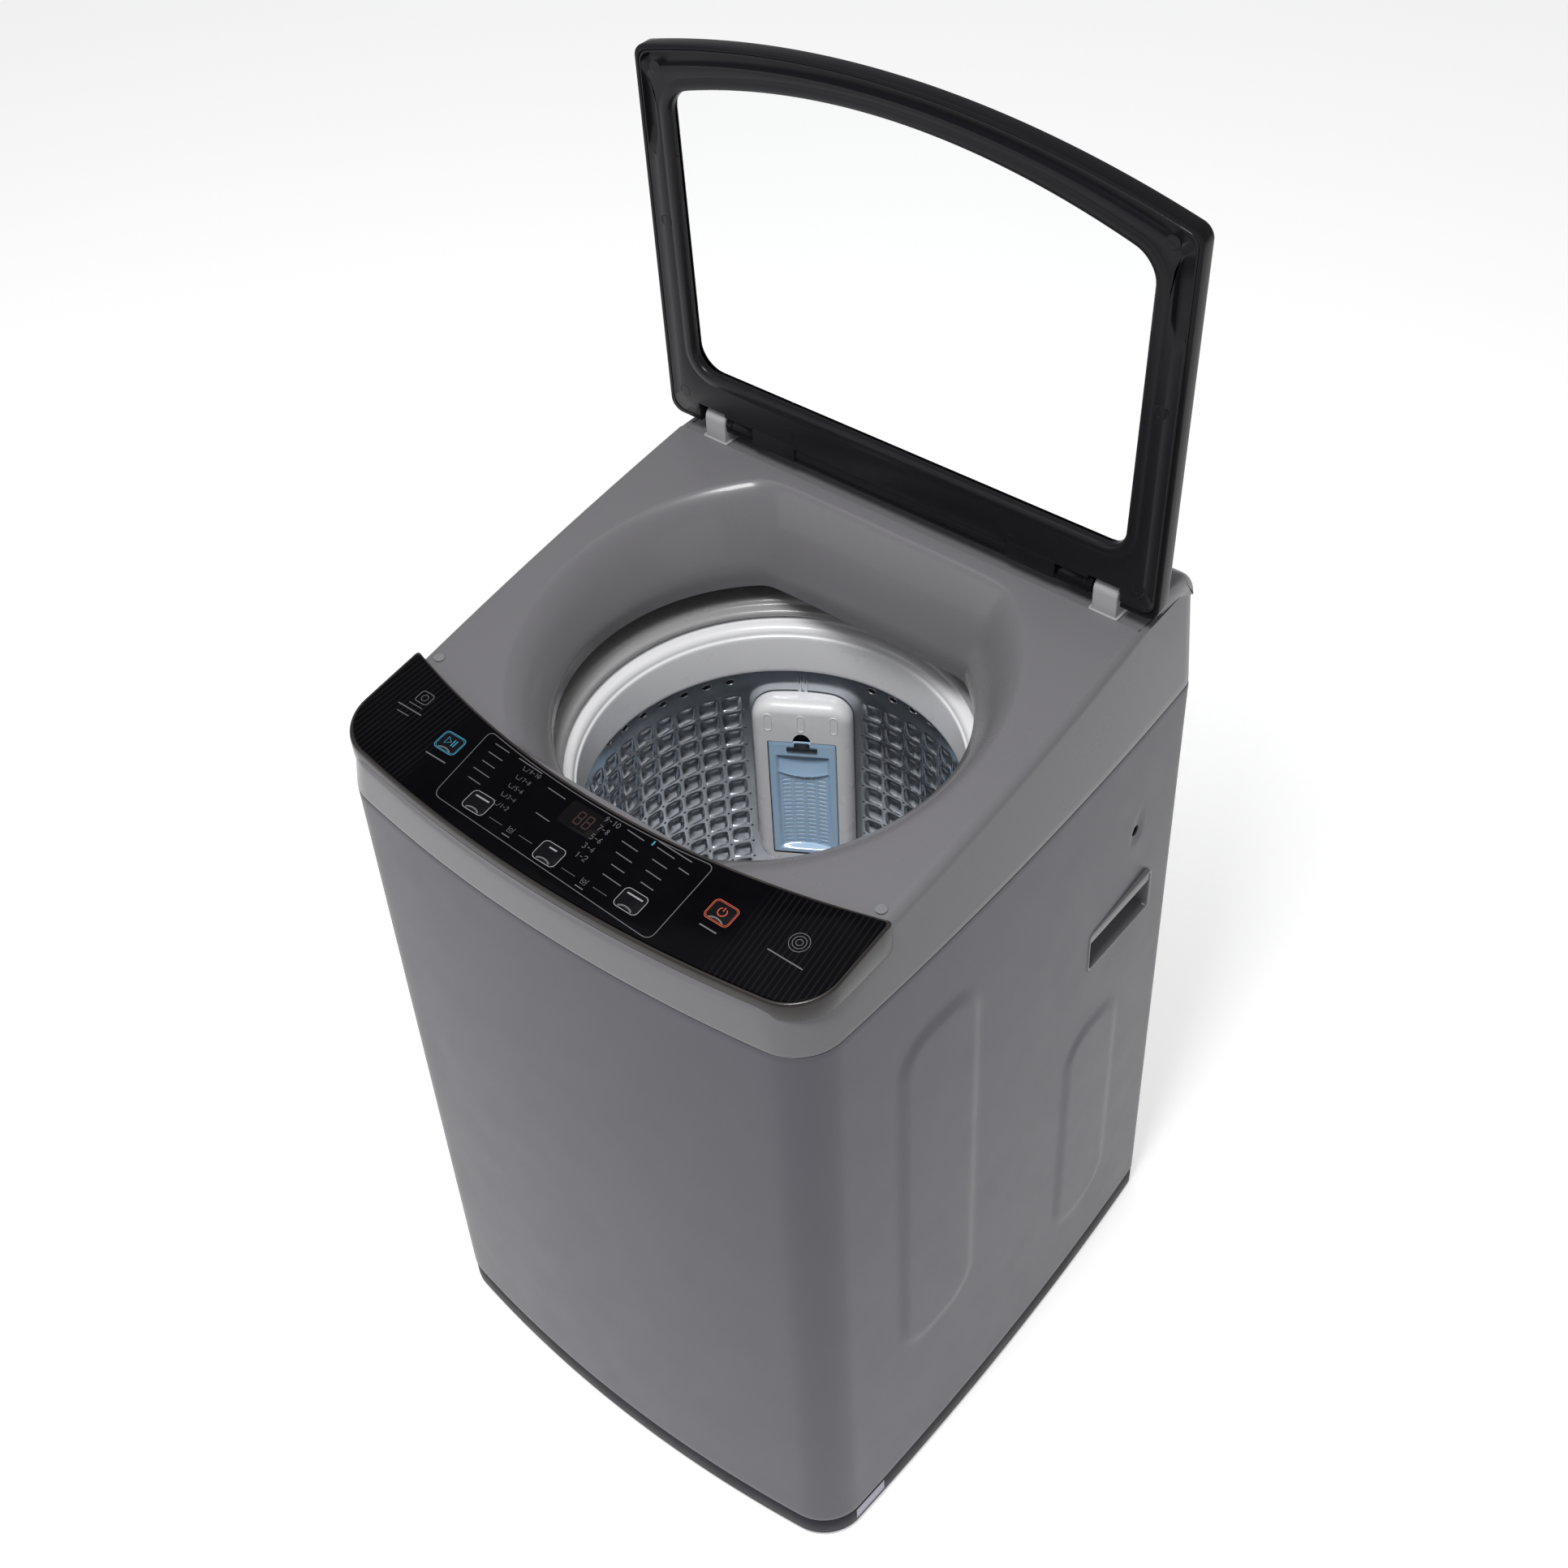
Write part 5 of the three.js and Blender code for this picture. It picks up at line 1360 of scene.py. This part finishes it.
drum = {
    "inner": 203.0,
    "outer": 204.9,
    "low": 290.0,
    "high": 711.0,
    "columns": 50,
    "rows": 13,
    "firstRow": 666.0,
    "rowPitch": 25.0,
    "padRise": 2.5,
    "padHalf": 0.405,
    "padBevel": 0.20,
    "cell": (-0.5, -0.415, -0.375, -0.33, -0.12, 0.12, 0.33, 0.375, 0.415),  # where a cell's points stand
    "filterTurn": 121.0,
    "clearColumns": 3,
    "ovalLevel": 697.0,
    # strips of the joint in the wall above the filter: middle, half width, near and far side, edge
    "seam": ((0.0, 5.0, 202.55, 203.0, 0.2), (-3.2, 1.9, 201.2, 202.7, 0.35), (3.2, 1.9, 201.2, 202.7, 0.35)),
    "seamSpan": (672.0, 710.6),
}


def inputOf(tree, name, kind):
    return tree.interface.new_socket(name=name, in_out="INPUT", socket_type="NodeSocket" + kind).identifier


def makeScatterTree():
    # copies of one shape, facing outwards on a round wall or laid out on a flat one
    tree = bpy.data.node_groups.new("scatter", "GeometryNodeTree")
    kinds = {"Columns": "Int", "Rows": "Int", "Radius": "Float", "Middle X": "Float", "Middle Y": "Float",
             "Low": "Float", "Rise": "Float", "Start": "Float", "Step": "Float", "Shift": "Float",
             "Skip Turn": "Float", "Skip Cosine": "Float", "Shape": "Object", "Finish": "Material"}
    keys = {name: inputOf(tree, name, kind) for name, kind in kinds.items()}
    tree.interface.new_socket(name="Geometry", in_out="OUTPUT", socket_type="NodeSocketGeometry")
    given = addNode(tree, "NodeGroupInput").outputs
    maths = mathsIn(tree)
    index = addNode(tree, "GeometryNodeInputIndex").outputs[0]
    column = maths("MODULO", index, given["Columns"])
    row = maths("FLOOR", maths("DIVIDE", index, given["Columns"]))
    turn = maths("MULTIPLY_ADD", column, given["Step"], given["Start"])
    out = maths("MULTIPLY_ADD", column, given["Shift"], given["Middle X"])
    x = maths("MULTIPLY_ADD", maths("COSINE", turn), given["Radius"], out)
    y = maths("MULTIPLY_ADD", maths("SINE", turn), given["Radius"], given["Middle Y"])
    z = maths("MULTIPLY_ADD", row, given["Rise"], given["Low"])
    place = addNode(tree, "ShaderNodeCombineXYZ", {0: x, 1: y, 2: z}).outputs[0]
    count = maths("MULTIPLY", given["Columns"], given["Rows"])
    points = addNode(tree, "GeometryNodePoints", {"Count": count, "Position": place}).outputs[0]
    angles = addNode(tree, "ShaderNodeCombineXYZ", {2: turn}).outputs[0]
    turned = addNode(tree, "FunctionNodeEulerToRotation", {0: angles}).outputs[0]
    apart = maths("COSINE", maths("SUBTRACT", turn, given["Skip Turn"]))
    chosen = addNode(tree, "FunctionNodeCompare", {0: apart, 1: given["Skip Cosine"]}, data_type="FLOAT",
                     operation="LESS_THAN").outputs[0]
    shape = addNode(tree, "GeometryNodeObjectInfo", {"Object": given["Shape"]}).outputs["Geometry"]
    place = {"Points": points, "Selection": chosen, "Instance": shape, "Rotation": turned}
    copies = addNode(tree, "GeometryNodeInstanceOnPoints", place).outputs[0]
    solid = addNode(tree, "GeometryNodeRealizeInstances", {0: copies}).outputs[0]
    coated = addNode(tree, "GeometryNodeSetMaterial", {"Geometry": solid, "Material": given["Finish"]}).outputs[0]
    addNode(tree, "NodeGroupOutput", {0: coated})
    return tree, keys


scatterTree, scatterKeys = makeScatterTree()


def scatter(name, shape, material, crease=34.0, **sizes):
    mesh = bpy.data.meshes.new(name)
    piece = bpy.data.objects.new(name, mesh)
    scene.collection.objects.link(piece)
    modifier = piece.modifiers.new("scatter", "NODES")
    modifier.node_group = scatterTree
    values = {"Columns": 1, "Rows": 1, "Radius": 0.0, "Middle X": 0.0, "Middle Y": drumY * mm, "Low": 0.0,
              "Rise": 0.0, "Start": 0.0, "Step": 0.0, "Shift": 0.0, "Skip Turn": 0.0, "Skip Cosine": 2.0,
              "Shape": shape, "Finish": material}
    values.update({key.replace("_", " "): value for key, value in sizes.items()})
    for key, value in values.items():
        modifier[scatterKeys[key]] = value
    bakeModifiers(piece, crease)
    bpy.data.objects.remove(shape)
    return piece


def padRise(u, v, s):
    # height of a pressed pad at a place in its cell, each way from -0.5 to 0.5
    d = (abs(u / s["padHalf"]) ** 5 + abs(v / s["padHalf"]) ** 5) ** 0.2
    return s["padRise"] * ease((1.0 - d) / s["padBevel"])


def makeDrum(s):
    cell = s["cell"]
    wide = 360.0 / s["columns"]
    places = [(k, u) for k in range(s["columns"]) for u in cell]
    turns = [math.radians(s["filterTurn"] + (k + u) * wide) for k, u in places]
    cos, sin = [math.cos(a) for a in turns], [math.sin(a) for a in turns]
    plain = [min(k, s["columns"] - k) < s["clearColumns"] for k, u in places]
    levels = [(s["low"], None)]
    for j in range(s["rows"] - 1, -1, -1):
        levels += [(s["firstRow"] - (j - v) * s["rowPitch"], v) for v in cell]
    levels += [(s["firstRow"] + 0.5 * s["rowPitch"], None), (s["high"] - 1.0, None)]
    rings = []
    for z, v in levels:
        ring = []
        for i, (k, u) in enumerate(places):
            r = s["inner"] if v is None or plain[i] else s["inner"] - padRise(u, v, s)
            ring.append((r * cos[i], drumY + r * sin[i], z))
        rings.append(ring)
    for r, z in ((s["inner"] + 0.5, s["high"]), (s["outer"], s["high"]), (s["outer"], s["low"])):
        rings.append([(r * cos[i], drumY + r * sin[i], z) for i in range(len(places))])
    wall = addLoft("drum_wall", rings, finish["drumSteel"], 50.0, loop=True)
    settle(wall, "drum", "stainless", "drum_basket")


def eyelet(wide, tall, rim, lift):
    # the pressed rim of a hole and a dark disc inside it as painted shade, both facing the drum's axis
    def ring(x, grow):
        return [(x, (wide / 2 + grow) * math.cos(a), (tall / 2 + grow) * math.sin(a)) for a in turnsOf(14)]

    edge = addLoft("rim", [ring(0.2, rim), ring(-lift, rim * 0.45), ring(0.2, -rim * 0.2)], finish["drumSteel"],
                   60.0, loop=True)
    # painted shade: a dark disc where the opening of the hole would be
    inside = addLoft("inside", [ring(0.2, 0.0), ring(-0.10, 0.0)], finish["paintedHoleShade"])
    return edge, inside


def makePerforations(s):
    step = math.radians(360.0 / s["columns"])
    start = math.radians(s["filterTurn"])
    wallRadius = (s["inner"] - 0.02) * mm
    common = {"Columns": s["columns"], "Radius": wallRadius, "Step": step, "Skip_Turn": start}
    small = dict(common, Rows=s["rows"], Rise=s["rowPitch"] * mm, Start=start + step / 2,
                 Low=(s["firstRow"] - (s["rows"] - 0.5) * s["rowPitch"]) * mm, Skip_Cosine=math.cos(step * 2.1))
    large = dict(common, Start=start, Low=s["ovalLevel"] * mm, Skip_Cosine=math.cos(step * 2.1))
    kinds = (("perforations", small, eyelet(2.0, 2.0, 0.7, 0.25)), ("ovals", large, eyelet(8.6, 5.6, 1.5, 0.9)))
    for name, sizes, (edge, inside) in kinds:
        settle(scatter(name + "_rims", edge, finish["drumSteel"], 60.0, **sizes), "drum", "stainless")
        settle(scatter(name + "_holes", inside, finish["paintedHoleShade"], **sizes), "drum", "stainless")
    low, high = s["seamSpan"]
    seam = [slab("seam", roundedRectangle(x - half, x + half, low, high, 0.8, 2), near, far, finish["drumSteel"],
                 "y", edge, 2) for x, half, near, far, edge in s["seam"]]
    settle(atFilter(join("wall_seam", seam)), "drum", "stainless")


def atFilter(piece):
    # takes a piece drawn facing the axis from +Y round to the filter's place
    turn = Matrix.Rotation(math.radians(drum["filterTurn"] - 90.0), 4, "Z")
    piece.data.transform(Matrix.Translation((0.0, drumY * mm, 0.0)) @ turn)
    piece.data.update()
    return piece


rings = {
    "balance": [(205.0, 711.5), (190.0, 717.4), (186.8, 720.4), (186.0, 724.0), (186.0, 764.5), (186.5, 767.1),
                (187.8, 767.9), (188.6, 769.1), (188.8, 771.5), (190.2, 774.7), (193.0, 776.9), (196.6, 777.9),
                (199.4, 778.2), (201.0, 779.2), (204.0, 780.2), (208.0, 780.4), (211.0, 779.4), (212.6, 777.0),
                (213.0, 772.0), (213.0, 716.0), (211.4, 711.5)],
    "tub": [(205.0, 784.6), (200.0, 783.8), (197.8, 785.4), (197.4, 788.0), (198.2, 790.4), (200.4, 792.0),
            (204.0, 793.0), (206.4, 794.0), (207.8, 796.2), (210.0, 798.4), (214.0, 799.7), (219.0, 800.0),
            (246.0, 800.0), (249.6, 799.0), (251.0, 796.4), (251.0, 785.4)],
}


def makeRings(s):
    # every corner of a profile is rounded so that the ring has no hard facets
    for name, body, node, profile, tone in (("balance_band", "drum", "balance_ring", s["balance"], "ringPlastic"),
                                            ("tub_lip", "tub", "tub_cover_ring", s["tub"], "tubPlastic")):
        ring = addTurned(name, rounded(profile, 3.0, 2), finish[tone], 168, crease=32.0)
        settle(ring, body, "grey_plastic", node)


filterSizes = {
    "face": 177.0,
    "half": 53.8,
    "low": 436.2,
    "high": 678.0,
    "corner": 24.0,
    "bull": 12.0,
    "pocket": (-37.0, 37.0, 455.0, 627.0),
    "cassette": (-36.2, 36.2, 455.8, 626.2),
    "basin": (-29.5, 29.5, 462.0, 606.0),
    "floor": 7.6,
    "scoop": 9.4,
    "lip": 572.0,
    "hoop": ((0.0, 177.3), (0.2, 176.6), (0.6, 176.35), (1.0, 176.5), (1.4, 177.3)),
    "grid": (66, 150),
    "cassetteFace": 177.6,
    "wall": 0.9,
}


def makeFilterHousing(s):
    outline = roundedRectangle(-s["half"], s["half"], s["low"], s["high"], s["corner"], 8)
    body = slab("filter_housing", outline, s["face"], 215.0, finish["filterPlastic"], "y", s["bull"], 6)
    limit = addTurned("limit", [(201.6, 400.0), (201.6, 730.0)], None, 180, 0.0, 0.0, loop=False)
    combine(body, [limit], "INTERSECT", crease=30.0)
    x0, x1, z0, z1 = s["pocket"]
    cuts = [slab("cut", roundedRectangle(x0, x1, z0, z1, 2.4, 4), 170.0, 191.0, axis="y")]
    thumb = [(9.5 * math.cos(a), 627.0 + 12.0 * math.sin(a)) for a in (math.pi * k / 14 for k in range(15))]
    thumb += [(-9.5, 624.0), (9.5, 624.0)]
    cuts.append(slab("cut", thumb, 170.0, 182.5, axis="y"))
    combine(body, cuts, crease=30.0)
    parts = [body]
    for x in (-35.0, 0.0, 35.0):
        hoops = [onAxis(centredRectangle(x, 654.0, 8.8 - 2 * g, 24.0 - 2 * g, 4.38 - g, 7), y, "y")
                 for g, y in s["hoop"]]
        parts.append(addLoft("hoop", hoops, finish["filterPlastic"], 50.0, loop=True))
    settle(atFilter(join("filter_case", parts)), "drum", "grey_plastic", "lint_filter_housing")


def basinDepth(x, z, s):
    x0, x1, z0, z1 = s["basin"]
    wall = ease(min(x - x0, x1 - x) / 3.4)
    ends = ease(min(z - z0, z1 - z) / 2.6)
    bowl = 0.42 + 0.58 * (1.0 - (x / x1) ** 2)
    lip = s["lip"] + 9.0 * (x / x1) ** 2
    if z > lip:
        depth = mix(3.2, s["scoop"], ((z - lip) / (z1 - lip)) ** 0.7)
    else:
        depth = mix(s["floor"], 3.2, ease(1.0 - (lip - z) / 2.4))
    return depth * bowl * wall * ends


def makeCassette(s):
    x0, x1, z0, z1 = s["cassette"]
    (columns, rows), level, thick = s["grid"], s["cassetteFace"], s["wall"]
    front, back = [], []
    for j in range(rows + 1):
        for i in range(columns + 1):
            x, z = mix(x0, x1, i / columns), mix(z0, z1, j / rows)
            depth = basinDepth(x, z, s)
            edge = min(x - x0, x1 - x, z - z0, z1 - z)
            rim = 0.8 * (1.0 - ease(edge / 1.2))
            bead = -0.35 * math.exp(-((edge - 5.2) / 0.8) ** 2) if depth < 0.01 else 0.0
            front.append((x, level + depth + rim + bead, z))
            back.append((x, level + max(depth + thick, rim + 1.2), z))
    across, offset = columns + 1, len(front)
    faces = []
    for a in (j * across + i for j in range(rows) for i in range(columns)):
        faces.append((a, a + 1, a + across + 1, a + across))
        faces.append((offset + a, offset + a + across, offset + a + across + 1, offset + a + 1))
    edge = borderOf(columns, rows)
    for k, a in enumerate(edge):
        b = edge[(k + 1) % len(edge)]
        faces.append((a, offset + a, offset + b, b))
    basket = addPiece("basket", front + back, faces, finish["cassetteBlue"], 30.0)
    slot = slab("slot", centredRectangle(0.0, 0.0, 9.8, 3.0, 1.49, 3), -5.0, 12.0, axis="y")
    slots = scatter("slots", slot, finish["cassetteBlue"], Columns=4, Rows=17, Shift=12.9 * mm, Rise=6.1 * mm,
                    Middle_X=-19.35 * mm, Middle_Y=180.0 * mm, Low=467.6 * mm)
    combine(basket, [slots], crease=30.0)
    # a pale net just behind the slots, bowed like the basket
    bowed = []
    for k in range(13):
        x = mix(-27.0, 27.0, k / 12)
        y = level + s["floor"] * (0.42 + 0.58 * (1.0 - (x / s["basin"][1]) ** 2)) + thick + 0.35
        bowed.append([(x, y, 464.5), (x, y, 569.0), (x, y + 0.5, 569.0), (x, y + 0.5, 464.5)])
    settle(atFilter(addLoft("net", bowed, finish["netWhite"])), "lint_cassette", "white_plastic")
    settle(atFilter(basket), "lint_cassette", "filter_blue", "lint_cassette")


latchParts = [
    # left, right, low, high, corner, corner steps, near and far side, edge, edge steps
    (-16.5, 16.5, 613.6, 619.4, 1.4, 3, 175.6, 177.4, 0.5, 2),
    (-8.4, 8.4, 616.0, 625.4, 2.2, 4, 175.7, 179.6, 0.7, 2),
] + [(-5.4, 5.4, z - 0.5, z + 0.5, 0.49, 2, 175.5, 176.2, 0.2, 1) for z in (619.4, 621.6, 623.6)]


def makeLatch(s):
    parts = [slab("part", roundedRectangle(*plan), near, far, finish["latchPlastic"], "y", edge, steps)
             for *plan, near, far, edge, steps in s]
    settle(atFilter(join("filter_latch", parts)), "lint_latch", "charcoal_plastic", "lint_latch")


pulsatorSizes = {"rim": 169.6, "low": 304.2, "plate": 313.0, "vanes": 6, "vaneHeight": 29.0, "hub": 355.0,
                 "bore": 9.8, "around": 216, "steps": 44, "holes": 36, "holeRadius": 132.0,
                 "dimple": ((-3.0, 1.89), (1.2, 2.1), (1.4, 1.68))}


def pulsatorTop(r, turn, s):
    swell = 4.5 * ease((r - 118.0) / 30.0) * ease((168.0 - r) / 14.0)
    hub = 41.0 * ease((54.0 - r) / 30.0)
    phase = (turn * s["vanes"] / (2 * math.pi) + 0.5) % 1.0 - 0.5
    away = abs(phase) * 2 * math.pi / s["vanes"] * r
    ridge = s["vaneHeight"] * ease((13.0 - away) / 9.0) * ease((162.0 - r) / 34.0) * ease((r - 14.0) / 20.0)
    ripple = 1.2 * math.cos(phase * 2 * math.pi * 3) * ease((r - 70.0) / 30.0) * ease((150.0 - r) / 20.0)
    return s["plate"] - 3.4 + max(swell + ripple, 0.0) + max(hub, ridge)


def makePulsator(s):
    bore, steps, turns = s["bore"], s["steps"], turnsOf(s["around"])
    radii = [bore + (s["rim"] - 1.2 - bore) * (k / steps) for k in range(steps + 1)]
    rings = [[(r * math.cos(a), drumY + r * math.sin(a), min(s["hub"] - 8.0, pulsatorTop(r, a, s))) for a in turns]
             for r in radii]
    rings += turnedRings(((s["rim"], s["plate"] - 4.4), (s["rim"], s["low"] + 1.2), (s["rim"] - 1.4, s["low"]),
                          (bore, s["low"])), s["around"])
    plate = addLoft("pulsator_plate", rings, finish["filterPlastic"], 34.0, loop=True)
    # small dimples facing up, painted dark as the shade inside the holes
    dimple = addLoft("dimple", [[(r * math.cos(a), r * math.sin(a), z) for a in turnsOf(12)]
                                for z, r in s["dimple"]])
    step = 2 * math.pi / s["holes"]
    holes = scatter("pulsator_holes", dimple, finish["paintedHoleShade"], Columns=s["holes"], Radius=s["holeRadius"] * mm,
                    Step=step, Start=step / 2, Low=(s["plate"] + 0.5) * mm)
    settle(holes, "pulsator", "grey_plastic")
    settle(plate, "pulsator", "grey_plastic", "pulsator")


makeDrum(drum)
makePerforations(drum)
makeRings(rings)
makeFilterHousing(filterSizes)
makeCassette(filterSizes)
makeLatch(latchParts)
makePulsator(pulsatorSizes)


print("stage 8: inner works and what is left of the frame")

works = {
    "rod": 212.0,
    "spring": {"radius": 12.4, "wire": 2.0, "turns": 9.5, "low": 350.6, "high": 427.6},
    "hose": [(120, 90, 204), (120, 90, 160), (134, 114, 108), (140, 174, 82), (130, 240, 78), (120, 286, 78)],
    "motor": (-128.0, -112.0),
    "label": {"low": 13.5, "high": 29.5, "front": -247.0, "rear": -197.0},
}


def makeSprings(s):
    # coil springs under the four corners of the tub
    coil = s["spring"]
    steps = int(coil["turns"] * 20)
    for name, sx, sy in corners:
        x, y = sx * s["rod"], drumY + sy * s["rod"]
        stations = []
        for t in (k / steps for k in range(steps + 1)):
            a = 2 * math.pi * coil["turns"] * t
            z = mix(coil["low"], coil["high"], t + 0.012 * math.sin(4 * math.pi * t))
            stations.append(((x + coil["radius"] * math.cos(a), y + coil["radius"] * math.sin(a), z), coil["wire"]))
        spring = addLoft(f"coil_{name}", rodRings(stations, 8), finish["zincSteel"], 60.0)
        settle(spring, "cabinet", "zinc_steel", f"suspension_spring_{name}")
        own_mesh(spring)


def curvePoint(points, t):
    # a smooth run through all the points; t goes from 0 to 1
    spans = len(points) - 1
    i = min(spans - 1, int(t * spans))
    u = t * spans - i
    a, b, c, d = (Vector(points[min(spans, max(0, i + k))]) for k in (-1, 0, 1, 2))
    return 0.5 * (2 * b + (c - a) * u + (2 * a - 5 * b + 4 * c - d) * u * u + (3 * b - a - 3 * c + d) * u ** 3)


def makeHose(s):
    steps = 360
    stations = []
    for k in range(steps + 1):
        t = k / steps
        plain = min(1.0, min(t, 1.0 - t) / 0.06)
        wave = 0.5 - 0.5 * math.cos(2 * math.pi * t * 46)
        stations.append((tuple(curvePoint(s["hose"], t)), 18.8 - 2.0 * wave * ease(plain * 2 - 1)))
    inner = [(tuple(curvePoint(s["hose"], 1.0 - 0.02 * k)), 16.2) for k in range(0, 4)]
    hose = addLoft("ribbed_hose", rodRings(stations + inner, 22), finish["charcoalPlastic"], 50.0)
    settle(hose, "cabinet", "charcoal_plastic", "drain_hose")


def makeMotor(s):
    x, y = s["motor"]
    profile = [(26.0, 148.2), (30.0, 151.0), (54.0, 152.5), (60.0, 156.0), (63.6, 160.0), (63.6, 170.0)]
    for z in (173.0 + 6.0 * k for k in range(9)):
        profile += [(58.5, z), (58.5, z + 1.6), (62.6, z + 2.4), (63.0, z + 3.4), (62.6, z + 4.4)]
    profile += [(63.6, 229.0), (63.6, 236.0), (60.0, 240.0), (30.0, 241.6), (26.0, 243.4)]
    motor = addTurned("finned_motor", profile, finish["castAlloy"], 64, x, y, 30.0, loop=False)
    settle(motor, "tub", "zinc_steel", "motor")


def makeLabel(s):
    # a blank rating label on the side of the base, near the front corner
    outline = [p for p in planOutline(0.2) if p[0] > 200 and s["front"] < p[1] < s["rear"]]
    section = ((-0.3, s["low"]), (0.12, s["low"]), (0.12, s["high"]), (-0.3, s["high"]))
    rings = [[(x + out, y, z) for out, z in section] for x, y in sorted(outline, key=lambda p: p[1])]
    settle(addLoft("rating_label", rings, finish["labelPaper"], 40.0), "cabinet", "pale_grey_plastic")


leftFinishes = {
    "charcoalPlastic": ["lid_switch", "cord_gland"],
    "blackRubber": ["drive_belt"],
    "boardGreen": ["control_board"],
    "whitePlastic": ["inlet_valve", "drain_valve"],
    "tubPlastic": ["outer_tub"],
    "zincSteel": ["motor_bracket", "agitator_shaft", "drive_pulley", "motor_pulley"]
    + [f"suspension_rod_{name}" for name, sx, sy in corners],
    "castAlloy": ["gearbox"],
    "drumSteel": ["drum_base"],
    "filterPlastic": ["pulsator_cap"],
}


def coverLeftNodes():
    # every node of the frame that still shows is given one of the finishes made here
    for name, nodes in leftFinishes.items():
        for node in nodes:
            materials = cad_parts[node].data.materials
            materials.clear()
            materials.append(finish[name])


makeSprings(works)
makeHose(works)
makeMotor(works)
makeLabel(works["label"])
coverLeftNodes()
